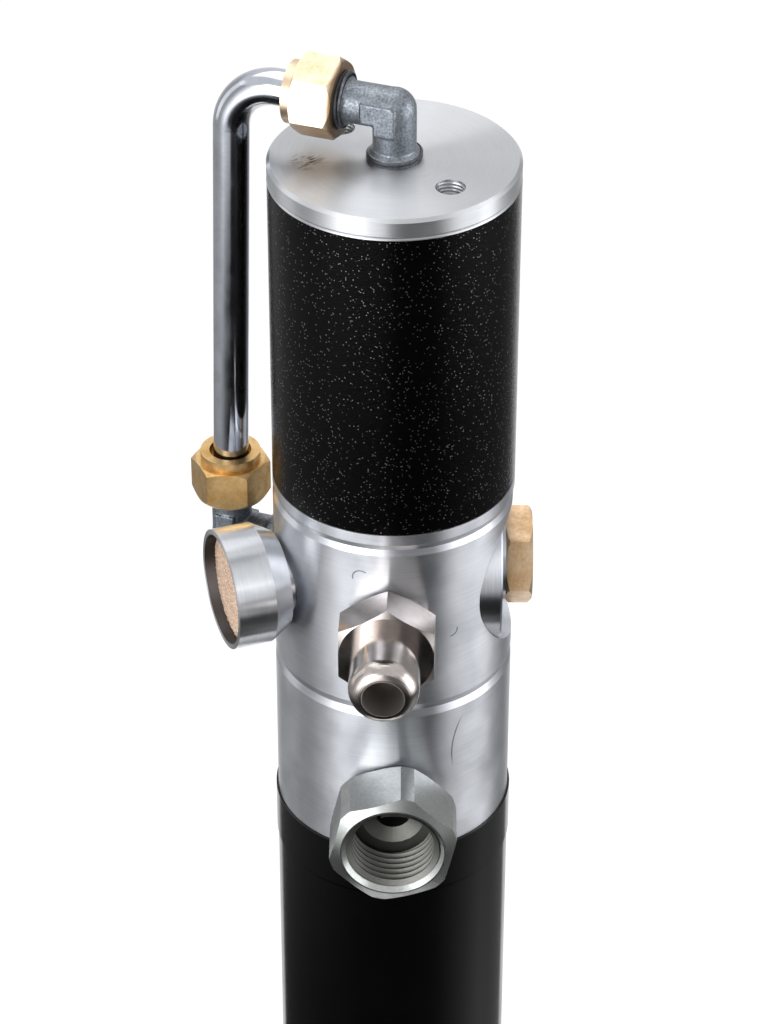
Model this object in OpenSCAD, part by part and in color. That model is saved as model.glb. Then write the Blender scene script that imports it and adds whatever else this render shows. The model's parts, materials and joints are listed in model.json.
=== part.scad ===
// Air operated drum pump: an air motor over a valve body, an outlet body and a
// long suction tube with a foot valve. Millimetres. Z runs up the pump axis and
// zero is the point where the drum's bung grips the suction tube. The inlet and
// the outlet face -Y, the side plug faces +X.

/* [Stack] */
// Outside diameter of the cap, cylinder and bodies
pump_d = 54; // [52:1:58]
// Grip point down to the underside of the foot
tube_reach = 850; // [400:10:1100]
// Grip point up to the underside of the collar
tube_grip = 60; // [40:5:120]
// Height of the collar
collar_h = 13; // [12:0.5:16]
// Height of the outlet body
outlet_body_h = 40; // [38:1:50]
// Height of the valve body
valve_body_h = 48; // [46:1:60]
// Height of the air cylinder
cylinder_h = 74; // [66:1:120]
// Height of the cap's rim above the air cylinder
cap_rim_h = 4.2; // [3.5:0.1:6]

/* [Cap] */
// Bevel round the cap's top edge
cap_bevel = 0.7; // [0.3:0.1:1.2]
// Depth of the cap's spigot in the air cylinder
cap_spigot_h = 8; // [7:0.5:10]
// Diameter of the two pin spanner holes
spanner_hole_d = 6.4; // [5:0.1:7]
// Circle that the two spanner holes lie on
spanner_circle_d = 34.6; // [30:0.2:38]
// Depth of the spanner holes
spanner_hole_h = 6; // [4:0.5:8]
// Direction of the first spanner hole from +X, degrees
spanner_az = -48; // [-90:1:0]

/* [Air cylinder] */
// Wall of the air cylinder
cylinder_wall = 2; // [1.8:0.1:2.5]
// Bevel at both ends of the air cylinder
cylinder_bevel = 0.5; // [0.2:0.1:0.8]
// Height of the rubber bumpers above and below the air piston
bumper_h = 2; // [1.5:0.1:3]

/* [Valve body] */
// Height of the valve body's spigot in the air cylinder
barrel_spigot_h = 8; // [7:0.5:9]
// Wall of the outlet body round the valve body's spigot
joint_wall = 5; // [4:0.5:6]
// Length of the valve body's spigot in the outlet body
joint_spigot_h = 8.5; // [8:0.5:10]
// Plain land between the air cylinder and the upper groove
groove_land = 2.6; // [2:0.1:4]
// Height of the upper groove
groove_h = 2.9; // [2:0.1:4]
// Depth of the grooves
groove_depth = 0.5; // [0.3:0.1:0.8]
// Height of each bevel at the seam of the two bodies
seam_bevel_h = 1.8; // [1:0.1:2.5]
// Rise of the side ports' axis above the middle of the valve body
side_port_rise = 0.4; // [0:0.1:1]
// Height of the inlet and bypass ports above the valve body's underside
front_port_h = 22.25; // [21:0.25:24]
// Depth below the bodies' round face that fittings seat at
port_sink = 1; // [0.8:0.1:1.5]
// Gap between the bodies' round face and the back of a fitting's hexagon or cup
fitting_gap = 0.6; // [0.5:0.1:1]
// Diameter of the drilled air galleries
gallery_d = 4; // [3:0.1:4.2]
// Wall between the rod's bore and the galleries beside it
gallery_wall = 0.8; // [0.8:0.1:1.2]

/* [Rod guides] */
// Outside diameter of the rod bushes and seals
bush_d = 20; // [18:0.5:20.5]
// Length of a rod bush
bush_h = 6.5; // [5:0.5:7]
// Height of a rod seal
rod_seal_h = 4; // [3:0.5:4.5]

/* [Valve housing] */
// Wall of the valve body above and below its cross bore
housing_margin = 5; // [4.6:0.1:6]
// Wall between the rod's bore and the cross bore's floor
housing_back = 3.6; // [3:0.1:4.5]
// Depth of the housing's flat face inside the bodies' round face
housing_inset = 2.8; // [2:0.1:3.5]
// Bevel round the housing's outer face
housing_bevel = 0.4; // [0.2:0.1:0.8]
// Step from the plug's thread down to the shuttle's bore, on the radius
shuttle_step = 0.3; // [0.2:0.1:0.6]
// Thickness of the housing behind the shuttle
housing_web = 2.5; // [2:0.1:3]
// Length of the shuttle's disc
shuttle_l = 4; // [3.6:0.1:4.4]
// Diameter of the shuttle's guide stem
stem_d = 4.8; // [4:0.1:5.5]
// Length of the shuttle's guide stem
stem_l = 8.7; // [7:0.1:9]

/* [Side plug] */
// Width of the side plug across its flats
plug_af = 19.9; // [18:0.1:21]
// Height of the side plug's hexagon
plug_h = 6; // [5.5:0.1:8]
// Turn of the side plug's hexagon, degrees
plug_turn = 41.4; // [0:0.2:60]
// Diameter of the side plug's thread
plug_thread_d = 16.6; // [16.6:0.1:17]
// Length of the side plug's thread
plug_thread_h = 5; // [4:0.1:5.2]
// Outside diameter of the plug's sealing washer
washer_d = 20.4; // [19:0.1:22]
// Thickness of the plug's sealing washer
washer_h = 1; // [0.8:0.1:1.6]

/* [Air inlet] */
// Direction of the inlet from +X, degrees
inlet_az = -92.5; // [-100:0.5:-80]
// Width of the inlet's hexagon across its flats
inlet_af = 21; // [19:0.5:22]
// Height of the inlet's hexagon
inlet_hex_h = 9; // [8:0.1:12]
// Diameter of the neck that the inlet seats on the body with
inlet_neck_d = 19; // [17:0.1:20]
// Diameter of the inlet's barrel
inlet_barrel_d = 15.6; // [14:0.1:17]
// Length of the inlet's barrel up to its rounded nose
inlet_barrel_h = 10.9; // [9:0.1:14]
// Length of the inlet's rounded nose
inlet_nose_h = 3.9; // [3:0.1:4.5]
// Diameter of the hole in the inlet's nose
inlet_bore_d = 9.2; // [8:0.1:10]
// Depth of the hole in the inlet's nose
inlet_bore_h = 12; // [8:0.5:14]
// Diameter of the inlet's thread
inlet_thread_d = 13.1; // [12:0.1:13.4]
// Length of the inlet's thread
inlet_thread_h = 6; // [5:0.1:7]
// Bore through the inlet to the body
inlet_way_d = 6; // [4:0.1:7]

/* [Muffler] */
// Direction of the muffler from +X, degrees
muffler_az = 200; // [195:0.5:205]
// Outside diameter of the muffler's cup
muffler_d = 27.3; // [24:0.1:29]
// Length of the muffler's cup
muffler_l = 13.2; // [11:0.1:18]
// Diameter of the muffler's rear face
muffler_rear_d = 22; // [18:0.1:23]
// Length of the muffler's tapered rear
muffler_taper_h = 4.5; // [3:0.1:5]
// Wall of the muffler's cup
muffler_wall = 1.3; // [1:0.1:1.6]
// Depth of the sintered disc below the mouth
muffler_recess = 2.5; // [1.5:0.1:3.5]
// Thickness of the sintered disc
muffler_disc_h = 3; // [2:0.1:3.5]
// Width of the ledge that the disc rests on
muffler_ledge = 1; // [0.6:0.1:1.5]
// Thickness of the cup's floor
muffler_floor_h = 2.6; // [2:0.1:3]
// Diameter of the boss that seats on the valve body
muffler_boss_d = 16; // [14:0.2:18]
// Diameter of the muffler's thread
muffler_thread_d = 9.7; // [9:0.1:10.4]
// Length of the muffler's thread
muffler_thread_h = 7; // [5:0.1:7.5]

/* [Elbows] */
// Diameter of an elbow's arms
elbow_d = 9.3; // [8.6:0.1:10]
// Rounding of an elbow's outer corner
elbow_round = 3.4; // [1.5:0.1:4]
// Width of the flat land on an elbow's sides
elbow_land_w = 4.5; // [3.5:0.1:6]
// Reach of the flat land along the nut's arm
elbow_land_reach = 6; // [4:0.1:7]
// Drop of the flat land along the stud's arm
elbow_land_drop = 4.7; // [3.5:0.1:6]
// Shift of the land's upright from the stud's axis, towards the nut
elbow_land_shift = 0.7; // [0:0.1:1]
// Height of the flat land above an elbow's round arm
elbow_land_h = 0.25; // [0.1:0.05:0.5]
// Room between a brass nut's corners and the cap
nut_room = 2.3; // [1:0.1:4]
// Diameter of an elbow's stud thread
stud_d = 11.3; // [10.6:0.1:12]
// Length of an elbow's stud thread
stud_h = 10.5; // [9:0.1:11]
// Length of the flare between the stud and the arm
stud_flare_h = 2; // [1.5:0.1:3]
// Diameter of the shoulder beside the nut
shoulder_d = 10.4; // [10:0.1:11]
// Length of the shoulder beside the nut
shoulder_h = 1.6; // [1:0.1:3]
// Distance of the lower nut's face from its elbow's corner
lower_arm = 10.1; // [10:0.1:14]
// Diameter of an elbow's nut thread
tail_d = 12.4; // [12:0.1:12.8]
// Length of an elbow's nut thread inside the nut
tail_h = 4.6; // [4:0.1:5]
// Bore through an elbow
elbow_way_d = 5.6; // [4:0.1:5.8]

/* [Bypass pipe] */
// Direction of the bypass pipe from +X, degrees
bypass_az = 160; // [158:0.5:164]
// Outside diameter of the bypass pipe
pipe_d = 8; // [7:0.1:8.4]
// Wall of the bypass pipe
pipe_wall = 1; // [0.8:0.1:1.2]
// Room between a brass nut's corners and the bodies, with the pipe upright
pipe_room = 0.6; // [0.3:0.1:4]
// Straight pipe between the upper nut and the bend
bend_lead = 2.6; // [0:0.1:3]
// Radius of the pipe's bend on its centre line
pipe_bend_r = 11; // [10:0.1:12]
// Lean of the bent pipe in its two nuts, degrees
pipe_lean = 1.5; // [0:0.1:1.8]
// Depth of the pipe in an elbow
pipe_seat_h = 3.6; // [3:0.1:4]
// Width of a brass nut across its flats
nut_af = 15.7; // [15.4:0.1:18]
// Height of a brass nut's hexagon
nut_hex_h = 9.3; // [8:0.1:10]
// Length of the bevel round a brass nut's face
nut_bevel_h = 1.4; // [0.8:0.1:2]
// Diameter of the shoulder on a brass nut
nut_neck_d = 13.6; // [13:0.1:15]
// Height of the shoulder on a brass nut
nut_neck_h = 2.2; // [1.5:0.1:3]
// Clearance of the pipe in a nut's neck, on the radius
nut_clearance = 0.75; // [0.5:0.05:1]
// Turn of the upper nut's hexagon, degrees
upper_nut_turn = 43; // [0:1:60]
// Turn of the lower nut's hexagon, degrees
lower_nut_turn = 16; // [0:1:60]

/* [Outlet] */
// Height of the outlet's neck above the collar
outlet_foot = 1; // [0.6:0.1:8]
// Width of the outlet's hexagon across its flats
outlet_af = 26.8; // [26:0.1:30]
// Diameter that the outlet's corners are turned to
outlet_turned_d = 29.3; // [28:0.1:32]
// Diameter of the outlet's face inside its bevel
outlet_face_d = 23.8; // [23.4:0.1:25]
// Length of the bevel round the outlet's face
outlet_bevel_h = 1.2; // [0.8:0.1:2]
// Length of the outlet's hexagon
outlet_hex_h = 13.7; // [13:0.1:20]
// Diameter of the neck that the outlet seats on the body with
outlet_neck_d = 20; // [19:0.1:21]
// Turn of the outlet's hexagon, degrees
outlet_turn = 47; // [0:1:60]
// Diameter of the outlet's female thread at its roots
outlet_thread_d = 20.96; // [20:0.01:21.4]
// Thickness of the outlet's hexagon behind its female thread
outlet_web = 1.3; // [1:0.1:3]
// Countersink at the outlet's mouth, on the radius
outlet_sink = 1.1; // [0.5:0.1:1.2]
// Bore through the outlet to the body
outlet_way_d = 8; // [6:0.1:9]
// Diameter of the outlet's thread in the body
outlet_spigot_d = 16.6; // [15.5:0.1:17.5]
// Length of the outlet's thread in the body
outlet_spigot_h = 7.5; // [6:0.1:8]
// Wall of the outlet body round its chamber
chamber_wall = 9; // [8:0.5:10]
// Thickness of the web over the chamber
chamber_web = 6; // [5:0.5:8]
// Clearance between the collar and the back of the outlet's hexagon
collar_room = 0.1; // [0.1:0.05:0.3]
// Wall of the collar round its threads
collar_wall = 2.3; // [2.1:0.1:2.4]
// Length of the outlet body's spigot in the collar
collar_spigot_h = 5.5; // [4.5:0.1:6]
// Thickness of the gasket between the outlet body and the suction tube
gasket_h = 1.5; // [1:0.1:2]

/* [Suction tube] */
// Step from the collar in to the suction tube, on the radius
tube_step = 0.3; // [0.3:0.05:0.5]
// Wall of the suction tube
tube_wall = 3.2; // [3:0.1:3.6]

/* [Foot valve] */
// Step of the foot inside the tube's diameter, on the radius
foot_inset = 0.3; // [0.2:0.1:1]
// Height of the foot's flange below the tube
foot_flange_h = 8; // [6:0.5:10]
// Height of the foot above its stop pin
foot_head = 7; // [4:0.5:12]
// Share of a ball's diameter that the hole under it has
orifice_share = 0.8; // [0.75:0.01:0.85]
// Room between a ball and the wall of its chamber
ball_room = 3.5; // [2.5:0.1:4]
// Diameter of the foot ball
foot_ball_d = 25; // [24:0.5:26]
// Lift of the foot ball
foot_lift = 6; // [4:0.5:6.5]
// Diameter of the pin that stops the foot ball
stop_pin_d = 4; // [3:0.1:4.4]
// Height of the strainer
strainer_h = 27; // [24:1:40]
// Length of the strainer's grip on the foot
strainer_grip = 7; // [5:0.5:8]
// Wall of the strainer
strainer_wall = 1.5; // [1.2:0.1:2]
// Number of slots round the strainer
strainer_slots = 12; // [8:1:14]
// Width of a strainer slot
slot_w = 4; // [3:0.1:4.5]
// Height of a strainer slot
slot_h = 13; // [10:0.5:14]

/* [Piston rod] */
// Diameter of the piston rod
rod_d = 12; // [10:0.1:12.2]
// Shoulder at the turned ends of the rod
rod_shoulder = 1.05; // [0.8:0.05:1.5]

/* [Air piston] */
// Width of the lands between the air piston's grooves
piston_land = 1.1; // [1:0.1:3]
// Depth of the piston's nut below the piston's top
nut_sink = 0.8; // [0.4:0.1:2]
// Width of the piston's nut across its flats
rod_nut_af = 17; // [16:0.5:19]
// Height of the piston's nut
rod_nut_h = 6; // [5:0.1:6.2]
// Height of the guide band on the air piston
band_h = 3; // [2.5:0.1:3.4]
// Thickness of the guide bands and piston rings
band_t = 1.6; // [1.2:0.1:2]

/* [Pump piston] */
// Gap between the foot valve and the pump piston at the end of its stroke
pump_rest_gap = 3; // [2:0.5:6]
// Height of the seat of the piston's ball above the piston's underside
piston_seat_h = 6; // [4:0.5:10]
// Diameter of the piston's ball
piston_ball_d = 22; // [21:0.5:23]
// Lift of the piston's ball
piston_lift = 5; // [3:0.5:5]
// Height of the pump piston's rings
ring_h = 4; // [3:0.1:5]
// Step from the tube's bore in to the yoke's flange
yoke_inset = 4; // [3:0.5:8]
// Depth of the yoke's plug in the pump piston
yoke_plug_h = 4.6; // [3:0.1:8]
// Thickness of the yoke's flange
yoke_h = 4; // [3:0.1:6]
// Wall of the yoke's hub outside the rod's diameter
hub_wall = 1.7; // [1.5:0.1:2.2]
// Height of the yoke's hub above its flange
hub_h = 16; // [12:0.5:24]
// Share of the room round the hub that the yoke's flow holes take
yoke_hole_share = 0.8; // [0.6:0.05:0.9]

/* [Fits] */
// Radial clearance of sliding pieces
run_gap = 0.05; // [0.02:0.01:0.08]
// Radial clearance of pieces screwed or pushed together
seat_gap = 0.1; // [0.08:0.01:0.2]
// Gap left where a moving piece rests on a stop or seat
rest_gap = 0.3; // [0.2:0.05:0.4]
// Thickness of the sealing rings' rubber
oring_d = 2; // [1.8:0.1:2.4]
// Room beside a sealing ring in its groove
oring_room = 0.4; // [0.2:0.1:0.6]

/* [Hidden] */
$fn = 96;
// Overrun of cuts past a face
over = 1;
// Slope of hexagon chamfers and of valve seats, degrees
hex_slope = 30;
seat_slope = 45;
// Facets of the inlet's rounded nose
nose_steps = 12;

pump_r = pump_d / 2;
air_r = pump_r - cylinder_wall;
collar_out_r = pump_r + fitting_gap - collar_room;
tube_out_r = collar_out_r - tube_step;
tube_r = tube_out_r - tube_wall;
rod_r = rod_d / 2;
rod_end_r = rod_r - rod_shoulder;
bore_r = rod_r + rest_gap;
collar_r = collar_out_r - collar_wall;
joint_r = pump_r - joint_wall;
chamber_r = pump_r - chamber_wall;
collar_z = tube_grip;
outlet_z = collar_z + collar_h;
valve_z = outlet_z + outlet_body_h;
barrel_z = valve_z + valve_body_h;
cap_z = barrel_z + cylinder_h;
top_z = cap_z + cap_rim_h;
side_z = valve_z + valve_body_h / 2 + side_port_rise;
front_z = valve_z + front_port_h;
mouth_z = outlet_z + outlet_foot + outlet_neck_d / 2;

groove_w = oring_d + 2 * oring_room;
spigot_top_z = barrel_z + barrel_spigot_h;
barrel_oring_z = barrel_z + barrel_spigot_h / 2;
cap_oring_z = cap_z - cap_spigot_h / 2;
joint_oring_z = valve_z - joint_spigot_h / 2;

port_seat = pump_r - port_sink;
fitting_back = pump_r + fitting_gap;
gallery_offset = bore_r + gallery_wall + gallery_d / 2;
supply_y = bush_d / 2 + gallery_d;
housing_r = valve_body_h / 2 - housing_margin;
housing_floor = bore_r + housing_back;
housing_face = pump_r - housing_inset;
shuttle_bore_r = plug_thread_d / 2 - shuttle_step;
shuttle_floor = housing_floor + housing_web;
shuttle_z = shuttle_floor + rest_gap;
riser_x = (shuttle_floor + housing_face) / 2;
plug_tip = housing_face - plug_thread_h;
plug_base = housing_face + washer_h;
bumper_r = riser_x - gallery_d / 2 - rest_gap;
muffler_mouth = fitting_back + muffler_l;

nut_corner = nut_af / 2 / cos(30);
elbow_rise = nut_corner + nut_room;
elbow_z = top_z + elbow_rise;
stud_base = elbow_rise - stud_flare_h;
stud_l = stud_h - stud_flare_h;
pipe_in_r = pipe_d / 2 - pipe_wall;
pipe_stand = pump_r + nut_corner + pipe_room;
upper_arm = pipe_stand - pipe_bend_r - bend_lead - nut_neck_h - nut_hex_h;
upper_pipe_tip = upper_arm + tail_h - pipe_seat_h;
lower_pipe_tip = lower_arm + tail_h - pipe_seat_h;
pipe_reach = pipe_stand - upper_pipe_tip;
lower_rho = upper_pipe_tip + pipe_reach * cos(pipe_lean)
    + pipe_drop(front_z + lower_arm + nut_hex_h / 2) * sin(pipe_lean);
bypass_floor = lower_rho - stud_base - stud_h;

foot_z = -tube_reach;
foot_r = tube_out_r - foot_inset;
strainer_z = foot_z + strainer_h;
tube_end_z = strainer_z + foot_flange_h;
foot_ball_r = foot_ball_d / 2;
foot_ball_z = strainer_z + rest_on_seat(foot_ball_r);
stop_pin_z = foot_ball_z + foot_ball_r + foot_lift + rest_gap + stop_pin_d / 2;
foot_top_z = stop_pin_z + stop_pin_d / 2 + foot_head;

air_piston_h = 4 * piston_land + 2 * groove_w + band_h;
nut_recess_h = rod_nut_h + nut_sink;
piston_z = spigot_top_z + bumper_h + rest_gap;
piston_top_z = piston_z + air_piston_h;
piston_ball_r = piston_ball_d / 2;
piston_chamber_r = piston_ball_r + ball_room;
pump_piston_z = foot_top_z + pump_rest_gap;
piston_seat_z = pump_piston_z + piston_seat_h;
piston_ball_z = piston_seat_z + rest_on_seat(piston_ball_r);
yoke_stop_z = piston_ball_z + piston_ball_r + piston_lift + rest_gap;
yoke_z = yoke_stop_z + yoke_plug_h;
hub_r = rod_r + hub_wall;
hub_top_z = yoke_z + yoke_h + hub_h;

// Height of a ball's centre over the hole that it rests on, with the rest gap
function rest_on_seat(ball_r) =
    sqrt(pow(ball_r + rest_gap, 2) - pow(ball_r * orifice_share, 2));
// Length along the pipe's long leg from its corner down to height z
function pipe_drop(z) = (elbow_z + pipe_reach * sin(pipe_lean) - z) / cos(pipe_lean);
// Length of a hexagon's chamfer along its axis
function chamfer_h(af, turned_d) = (turned_d - af) / 2 * tan(hex_slope);

// A frame whose +Z leaves the pump axis at azimuth az, height h
module port(az, h) {
    translate([0, 0, h]) rotate([0, 90, az]) children();
}

// The upright plane through the pump axis at azimuth az: x outwards, y upwards
module radial_plane(az) {
    rotate([90, 0, az]) children();
}

module pipe_ring(outer_r, inner_r, h) {
    difference() {
        cylinder(h = h, r = outer_r);
        translate([0, 0, -over]) cylinder(h = h + 2 * over, r = inner_r);
    }
}

module hole(r, from, to) {
    translate([0, 0, from]) cylinder(h = to - from, r = r);
}

// Hexagon bar, its corners turned to a diameter and chamfered at both ends
module hex_bar(af, h, turned_d) {
    c = chamfer_h(af, turned_d);
    intersection() {
        cylinder(h = h, d = af / cos(30), $fn = 6);
        rotate_extrude() polygon([
            [0, 0], [af / 2, 0], [turned_d / 2, c],
            [turned_d / 2, h - c], [af / 2, h], [0, h]
        ]);
    }
}

// Sealing ring that fills the gap between a groove's floor and a bore
module oring_in_bore(bore_r, z) {
    translate([0, 0, z]) rotate_extrude()
        translate([bore_r - oring_d / 2 - run_gap / 2, 0]) circle(d = oring_d - run_gap / 2);
}

// Groove for such a ring, cut into a spigot
module oring_groove(bore_r, z) {
    translate([0, 0, z - groove_w / 2])
        pipe_ring(bore_r + over, bore_r - oring_d - run_gap, groove_w);
}

// Top cap: a turned disc with a spigot, a port for the elbow and two holes for
// a pin spanner.
module top_cap() {
    color("gainsboro") difference() {
        union() {
            translate([0, 0, cap_z]) rotate_extrude() polygon([
                [0, 0], [pump_r - cap_bevel / 2, 0], [pump_r, cap_bevel / 2],
                [pump_r, cap_rim_h - cap_bevel], [pump_r - cap_bevel, cap_rim_h],
                [0, cap_rim_h]
            ]);
            hole(air_r - seat_gap, cap_z - cap_spigot_h, cap_z + cap_rim_h / 2);
        }
        hole(stud_d / 2 + seat_gap, top_z - stud_l - seat_gap, top_z + over);
        hole(elbow_way_d / 2, cap_z - cap_spigot_h - over, top_z);
        for (turn = [0, 180]) rotate(spanner_az + turn)
            translate([spanner_circle_d / 2, 0, 0])
                hole(spanner_hole_d / 2, top_z - spanner_hole_h, top_z + over);
        oring_groove(air_r, cap_oring_z);
    }
}

module bore_orings() {
    color("black") {
        oring_in_bore(air_r, cap_oring_z);
        oring_in_bore(air_r, barrel_oring_z);
    }
}

// Rubber rings that the air piston lands on at each end of its stroke
module bumpers() {
    color("dimgray") for (z = [spigot_top_z, cap_z - cap_spigot_h - bumper_h])
        translate([0, 0, z]) pipe_ring(bumper_r, bush_d / 2 + over, bumper_h);
}

module air_cylinder() {
    color("black") translate([0, 0, barrel_z]) rotate_extrude() polygon([
        [air_r, 0], [pump_r - cylinder_bevel / 2, 0], [pump_r, cylinder_bevel / 2],
        [pump_r, cylinder_h - cylinder_bevel], [pump_r - cylinder_bevel, cylinder_h],
        [air_r, cylinder_h]
    ]);
}

// Valve body: a turned billet between two spigots. The rod runs down its middle,
// and the air ports are drilled round it without reaching the rod's bore.
module valve_body() {
    bush_floor = rod_seal_h + bush_h;
    groove_top_z = barrel_z - groove_land;
    color("silver") difference() {
        rotate_extrude() polygon([
            [0, valve_z - joint_spigot_h], [joint_r, valve_z - joint_spigot_h],
            [joint_r, valve_z],
            [pump_r - groove_depth, valve_z], [pump_r, valve_z + seam_bevel_h],
            [pump_r, groove_top_z - groove_h],
            [pump_r - groove_depth, groove_top_z - groove_h / 2],
            [pump_r, groove_top_z], [pump_r, barrel_z],
            [air_r - seat_gap, barrel_z],
            [air_r - seat_gap, spigot_top_z], [0, spigot_top_z]
        ]);
        hole(bore_r, valve_z - joint_spigot_h - over, spigot_top_z + over);
        hole(bush_d / 2 + seat_gap, spigot_top_z - bush_floor, spigot_top_z + over);
        hole(bush_d / 2 + seat_gap, valve_z - joint_spigot_h - over,
            valve_z - joint_spigot_h + bush_floor);
        oring_groove(air_r, barrel_oring_z);
        oring_groove(joint_r + seat_gap, joint_oring_z);
        // Cross bore for the valve housing
        port(0, side_z) hole(housing_r + seat_gap, housing_floor, pump_r + over);
        // Air inlet
        port(inlet_az, front_z) {
            hole(inlet_thread_d / 2 + seat_gap, port_seat - inlet_thread_h - seat_gap,
                pump_r + over);
            hole(inlet_way_d / 2, supply_y - gallery_d / 2, port_seat);
            hole(inlet_neck_d / 2 + seat_gap, port_seat, pump_r + over);
        }
        // Muffler
        port(muffler_az, side_z) {
            hole(muffler_thread_d / 2 + seat_gap, port_seat - muffler_thread_h - gallery_d / 2,
                pump_r + over);
            hole(muffler_boss_d / 2 + seat_gap, port_seat, pump_r + over);
        }
        // Bypass elbow
        port(bypass_az, front_z)
            hole(stud_d / 2 + seat_gap, bypass_floor - seat_gap, pump_r + over);
        galleries();
    }
}

// Ways drilled across the valve body, past the rod's bore
module cross_way(from_x, to_x, y, z) {
    translate([from_x, y, z]) rotate([0, 90, 0]) cylinder(h = to_x - from_x, d = gallery_d);
}

// Drilled ways: housing to bypass elbow, housing to muffler, inlet to housing,
// and housing to the space below the air piston.
module galleries() {
    reach = housing_floor + over;
    cross_way(bypass_floor * cos(bypass_az) - gallery_d / 2, reach, gallery_offset, front_z);
    cross_way((port_seat - muffler_thread_h) * cos(muffler_az), reach, -gallery_offset, side_z);
    cross_way(-gallery_d / 2, reach, -supply_y, front_z);
    translate([riser_x, 0, side_z])
        cylinder(h = spigot_top_z + over - side_z, d = gallery_d);
}

module rod_bushes() {
    color("darkgoldenrod")
        for (z = [spigot_top_z - bush_h, valve_z - joint_spigot_h])
            translate([0, 0, z]) pipe_ring(bush_d / 2, rod_r + run_gap, bush_h);
}

module rod_seals() {
    color("darkgreen")
        for (z = [spigot_top_z - bush_h - rod_seal_h, valve_z - joint_spigot_h + bush_h])
            translate([0, 0, z]) pipe_ring(bush_d / 2, rod_r + run_gap, rod_seal_h);
}

// Valve housing: the cylinder seated in the cross bore, with the shuttle's bore,
// the plug's thread and the ways that meet the body's galleries.
module valve_housing() {
    color("lightgray") difference() {
        port(0, side_z) rotate_extrude() polygon([
            [0, housing_floor], [housing_r, housing_floor],
            [housing_r, housing_face - housing_bevel],
            [housing_r - housing_bevel, housing_face], [0, housing_face]
        ]);
        port(0, side_z) {
            hole(shuttle_bore_r, shuttle_floor, housing_face + over);
            hole(plug_thread_d / 2 + seat_gap, plug_tip - seat_gap, housing_face + over);
        }
        cross_way(housing_floor - over, shuttle_floor + over, gallery_offset, front_z);
        cross_way(housing_floor - over, shuttle_floor + over, -gallery_offset, side_z);
        cross_way(housing_floor - over, riser_x, -supply_y, front_z);
        translate([riser_x, 0, front_z]) rotate([90, 0, 0])
            cylinder(h = supply_y + gallery_d / 2 + over, d = gallery_d);
        translate([riser_x, 0, side_z]) cylinder(h = 2 * housing_r, d = gallery_d);
    }
}

module plug_washer() {
    color("gainsboro") port(0, side_z) translate([0, 0, housing_face])
        pipe_ring(washer_d / 2, plug_thread_d / 2 + seat_gap, washer_h);
}

// Brass plug that closes the valve housing and guides the shuttle's stem
module side_plug() {
    color("goldenrod") port(0, side_z) difference() {
        union() {
            translate([0, 0, plug_base]) rotate(plug_turn)
                hex_bar(plug_af, plug_h, plug_af / cos(30));
            hole(plug_thread_d / 2, plug_tip, plug_base + over);
        }
        hole(stem_d / 2 + run_gap, plug_tip - over, plug_tip + stem_l + rest_gap);
    }
}

module shuttle() {
    color("slategray") port(0, side_z) difference() {
        union() {
            hole(shuttle_bore_r - run_gap, shuttle_z, shuttle_z + shuttle_l);
            hole(stem_d / 2, shuttle_z, shuttle_z + shuttle_l + stem_l);
        }
        oring_groove(shuttle_bore_r, shuttle_z + shuttle_l / 2);
    }
}

module shuttle_oring() {
    color("black") port(0, side_z) oring_in_bore(shuttle_bore_r - run_gap / 2,
        shuttle_z + shuttle_l / 2);
}

// Inlet nipple: a hexagon, then a round barrel with a domed nose
module inlet_nipple() {
    hex_top = fitting_back + inlet_hex_h;
    barrel_top = hex_top + inlet_barrel_h;
    tip = barrel_top + inlet_nose_h;
    barrel_r = inlet_barrel_d / 2;
    bore_r = inlet_bore_d / 2;
    color("lightslategray") port(inlet_az, front_z) difference() {
        union() {
            translate([0, 0, fitting_back]) hex_bar(inlet_af, inlet_hex_h, inlet_af / cos(30));
            rotate_extrude() polygon(concat(
                [[0, port_seat - inlet_thread_h], [inlet_thread_d / 2, port_seat - inlet_thread_h],
                    [inlet_thread_d / 2, port_seat], [inlet_neck_d / 2, port_seat],
                    [inlet_neck_d / 2, fitting_back + over], [barrel_r, fitting_back + over],
                    [barrel_r, barrel_top]],
                [for (i = [1 : nose_steps]) let (a = 90 * i / nose_steps)
                    [bore_r + (barrel_r - bore_r) * cos(a), barrel_top + inlet_nose_h * sin(a)]],
                [[0, tip]]
            ));
        }
        hole(bore_r, tip - inlet_bore_h, tip + over);
        hole(inlet_way_d / 2, port_seat - inlet_thread_h - over, tip);
    }
}

// Muffler cup: turned, open outwards, with a ledge for the sintered disc
module muffler_cup() {
    r = muffler_d / 2;
    bowl_r = r - muffler_wall;
    disc_floor = muffler_mouth - muffler_recess - muffler_disc_h;
    color("silver") port(muffler_az, side_z) difference() {
        rotate_extrude() polygon([
            [0, port_seat - muffler_thread_h], [muffler_thread_d / 2, port_seat - muffler_thread_h],
            [muffler_thread_d / 2, port_seat], [muffler_boss_d / 2, port_seat],
            [muffler_boss_d / 2, fitting_back], [muffler_rear_d / 2, fitting_back],
            [r, fitting_back + muffler_taper_h], [r, muffler_mouth], [0, muffler_mouth]
        ]);
        hole(bowl_r, disc_floor, muffler_mouth + over);
        hole(bowl_r - muffler_ledge, fitting_back + muffler_floor_h, muffler_mouth);
        hole(muffler_thread_d / 3, port_seat - muffler_thread_h - over, muffler_mouth);
    }
}

module muffler_disc() {
    disc_floor = muffler_mouth - muffler_recess - muffler_disc_h;
    color("tan") port(muffler_az, side_z)
        hole(muffler_d / 2 - muffler_wall - seat_gap, disc_floor, disc_floor + muffler_disc_h);
}

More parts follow.
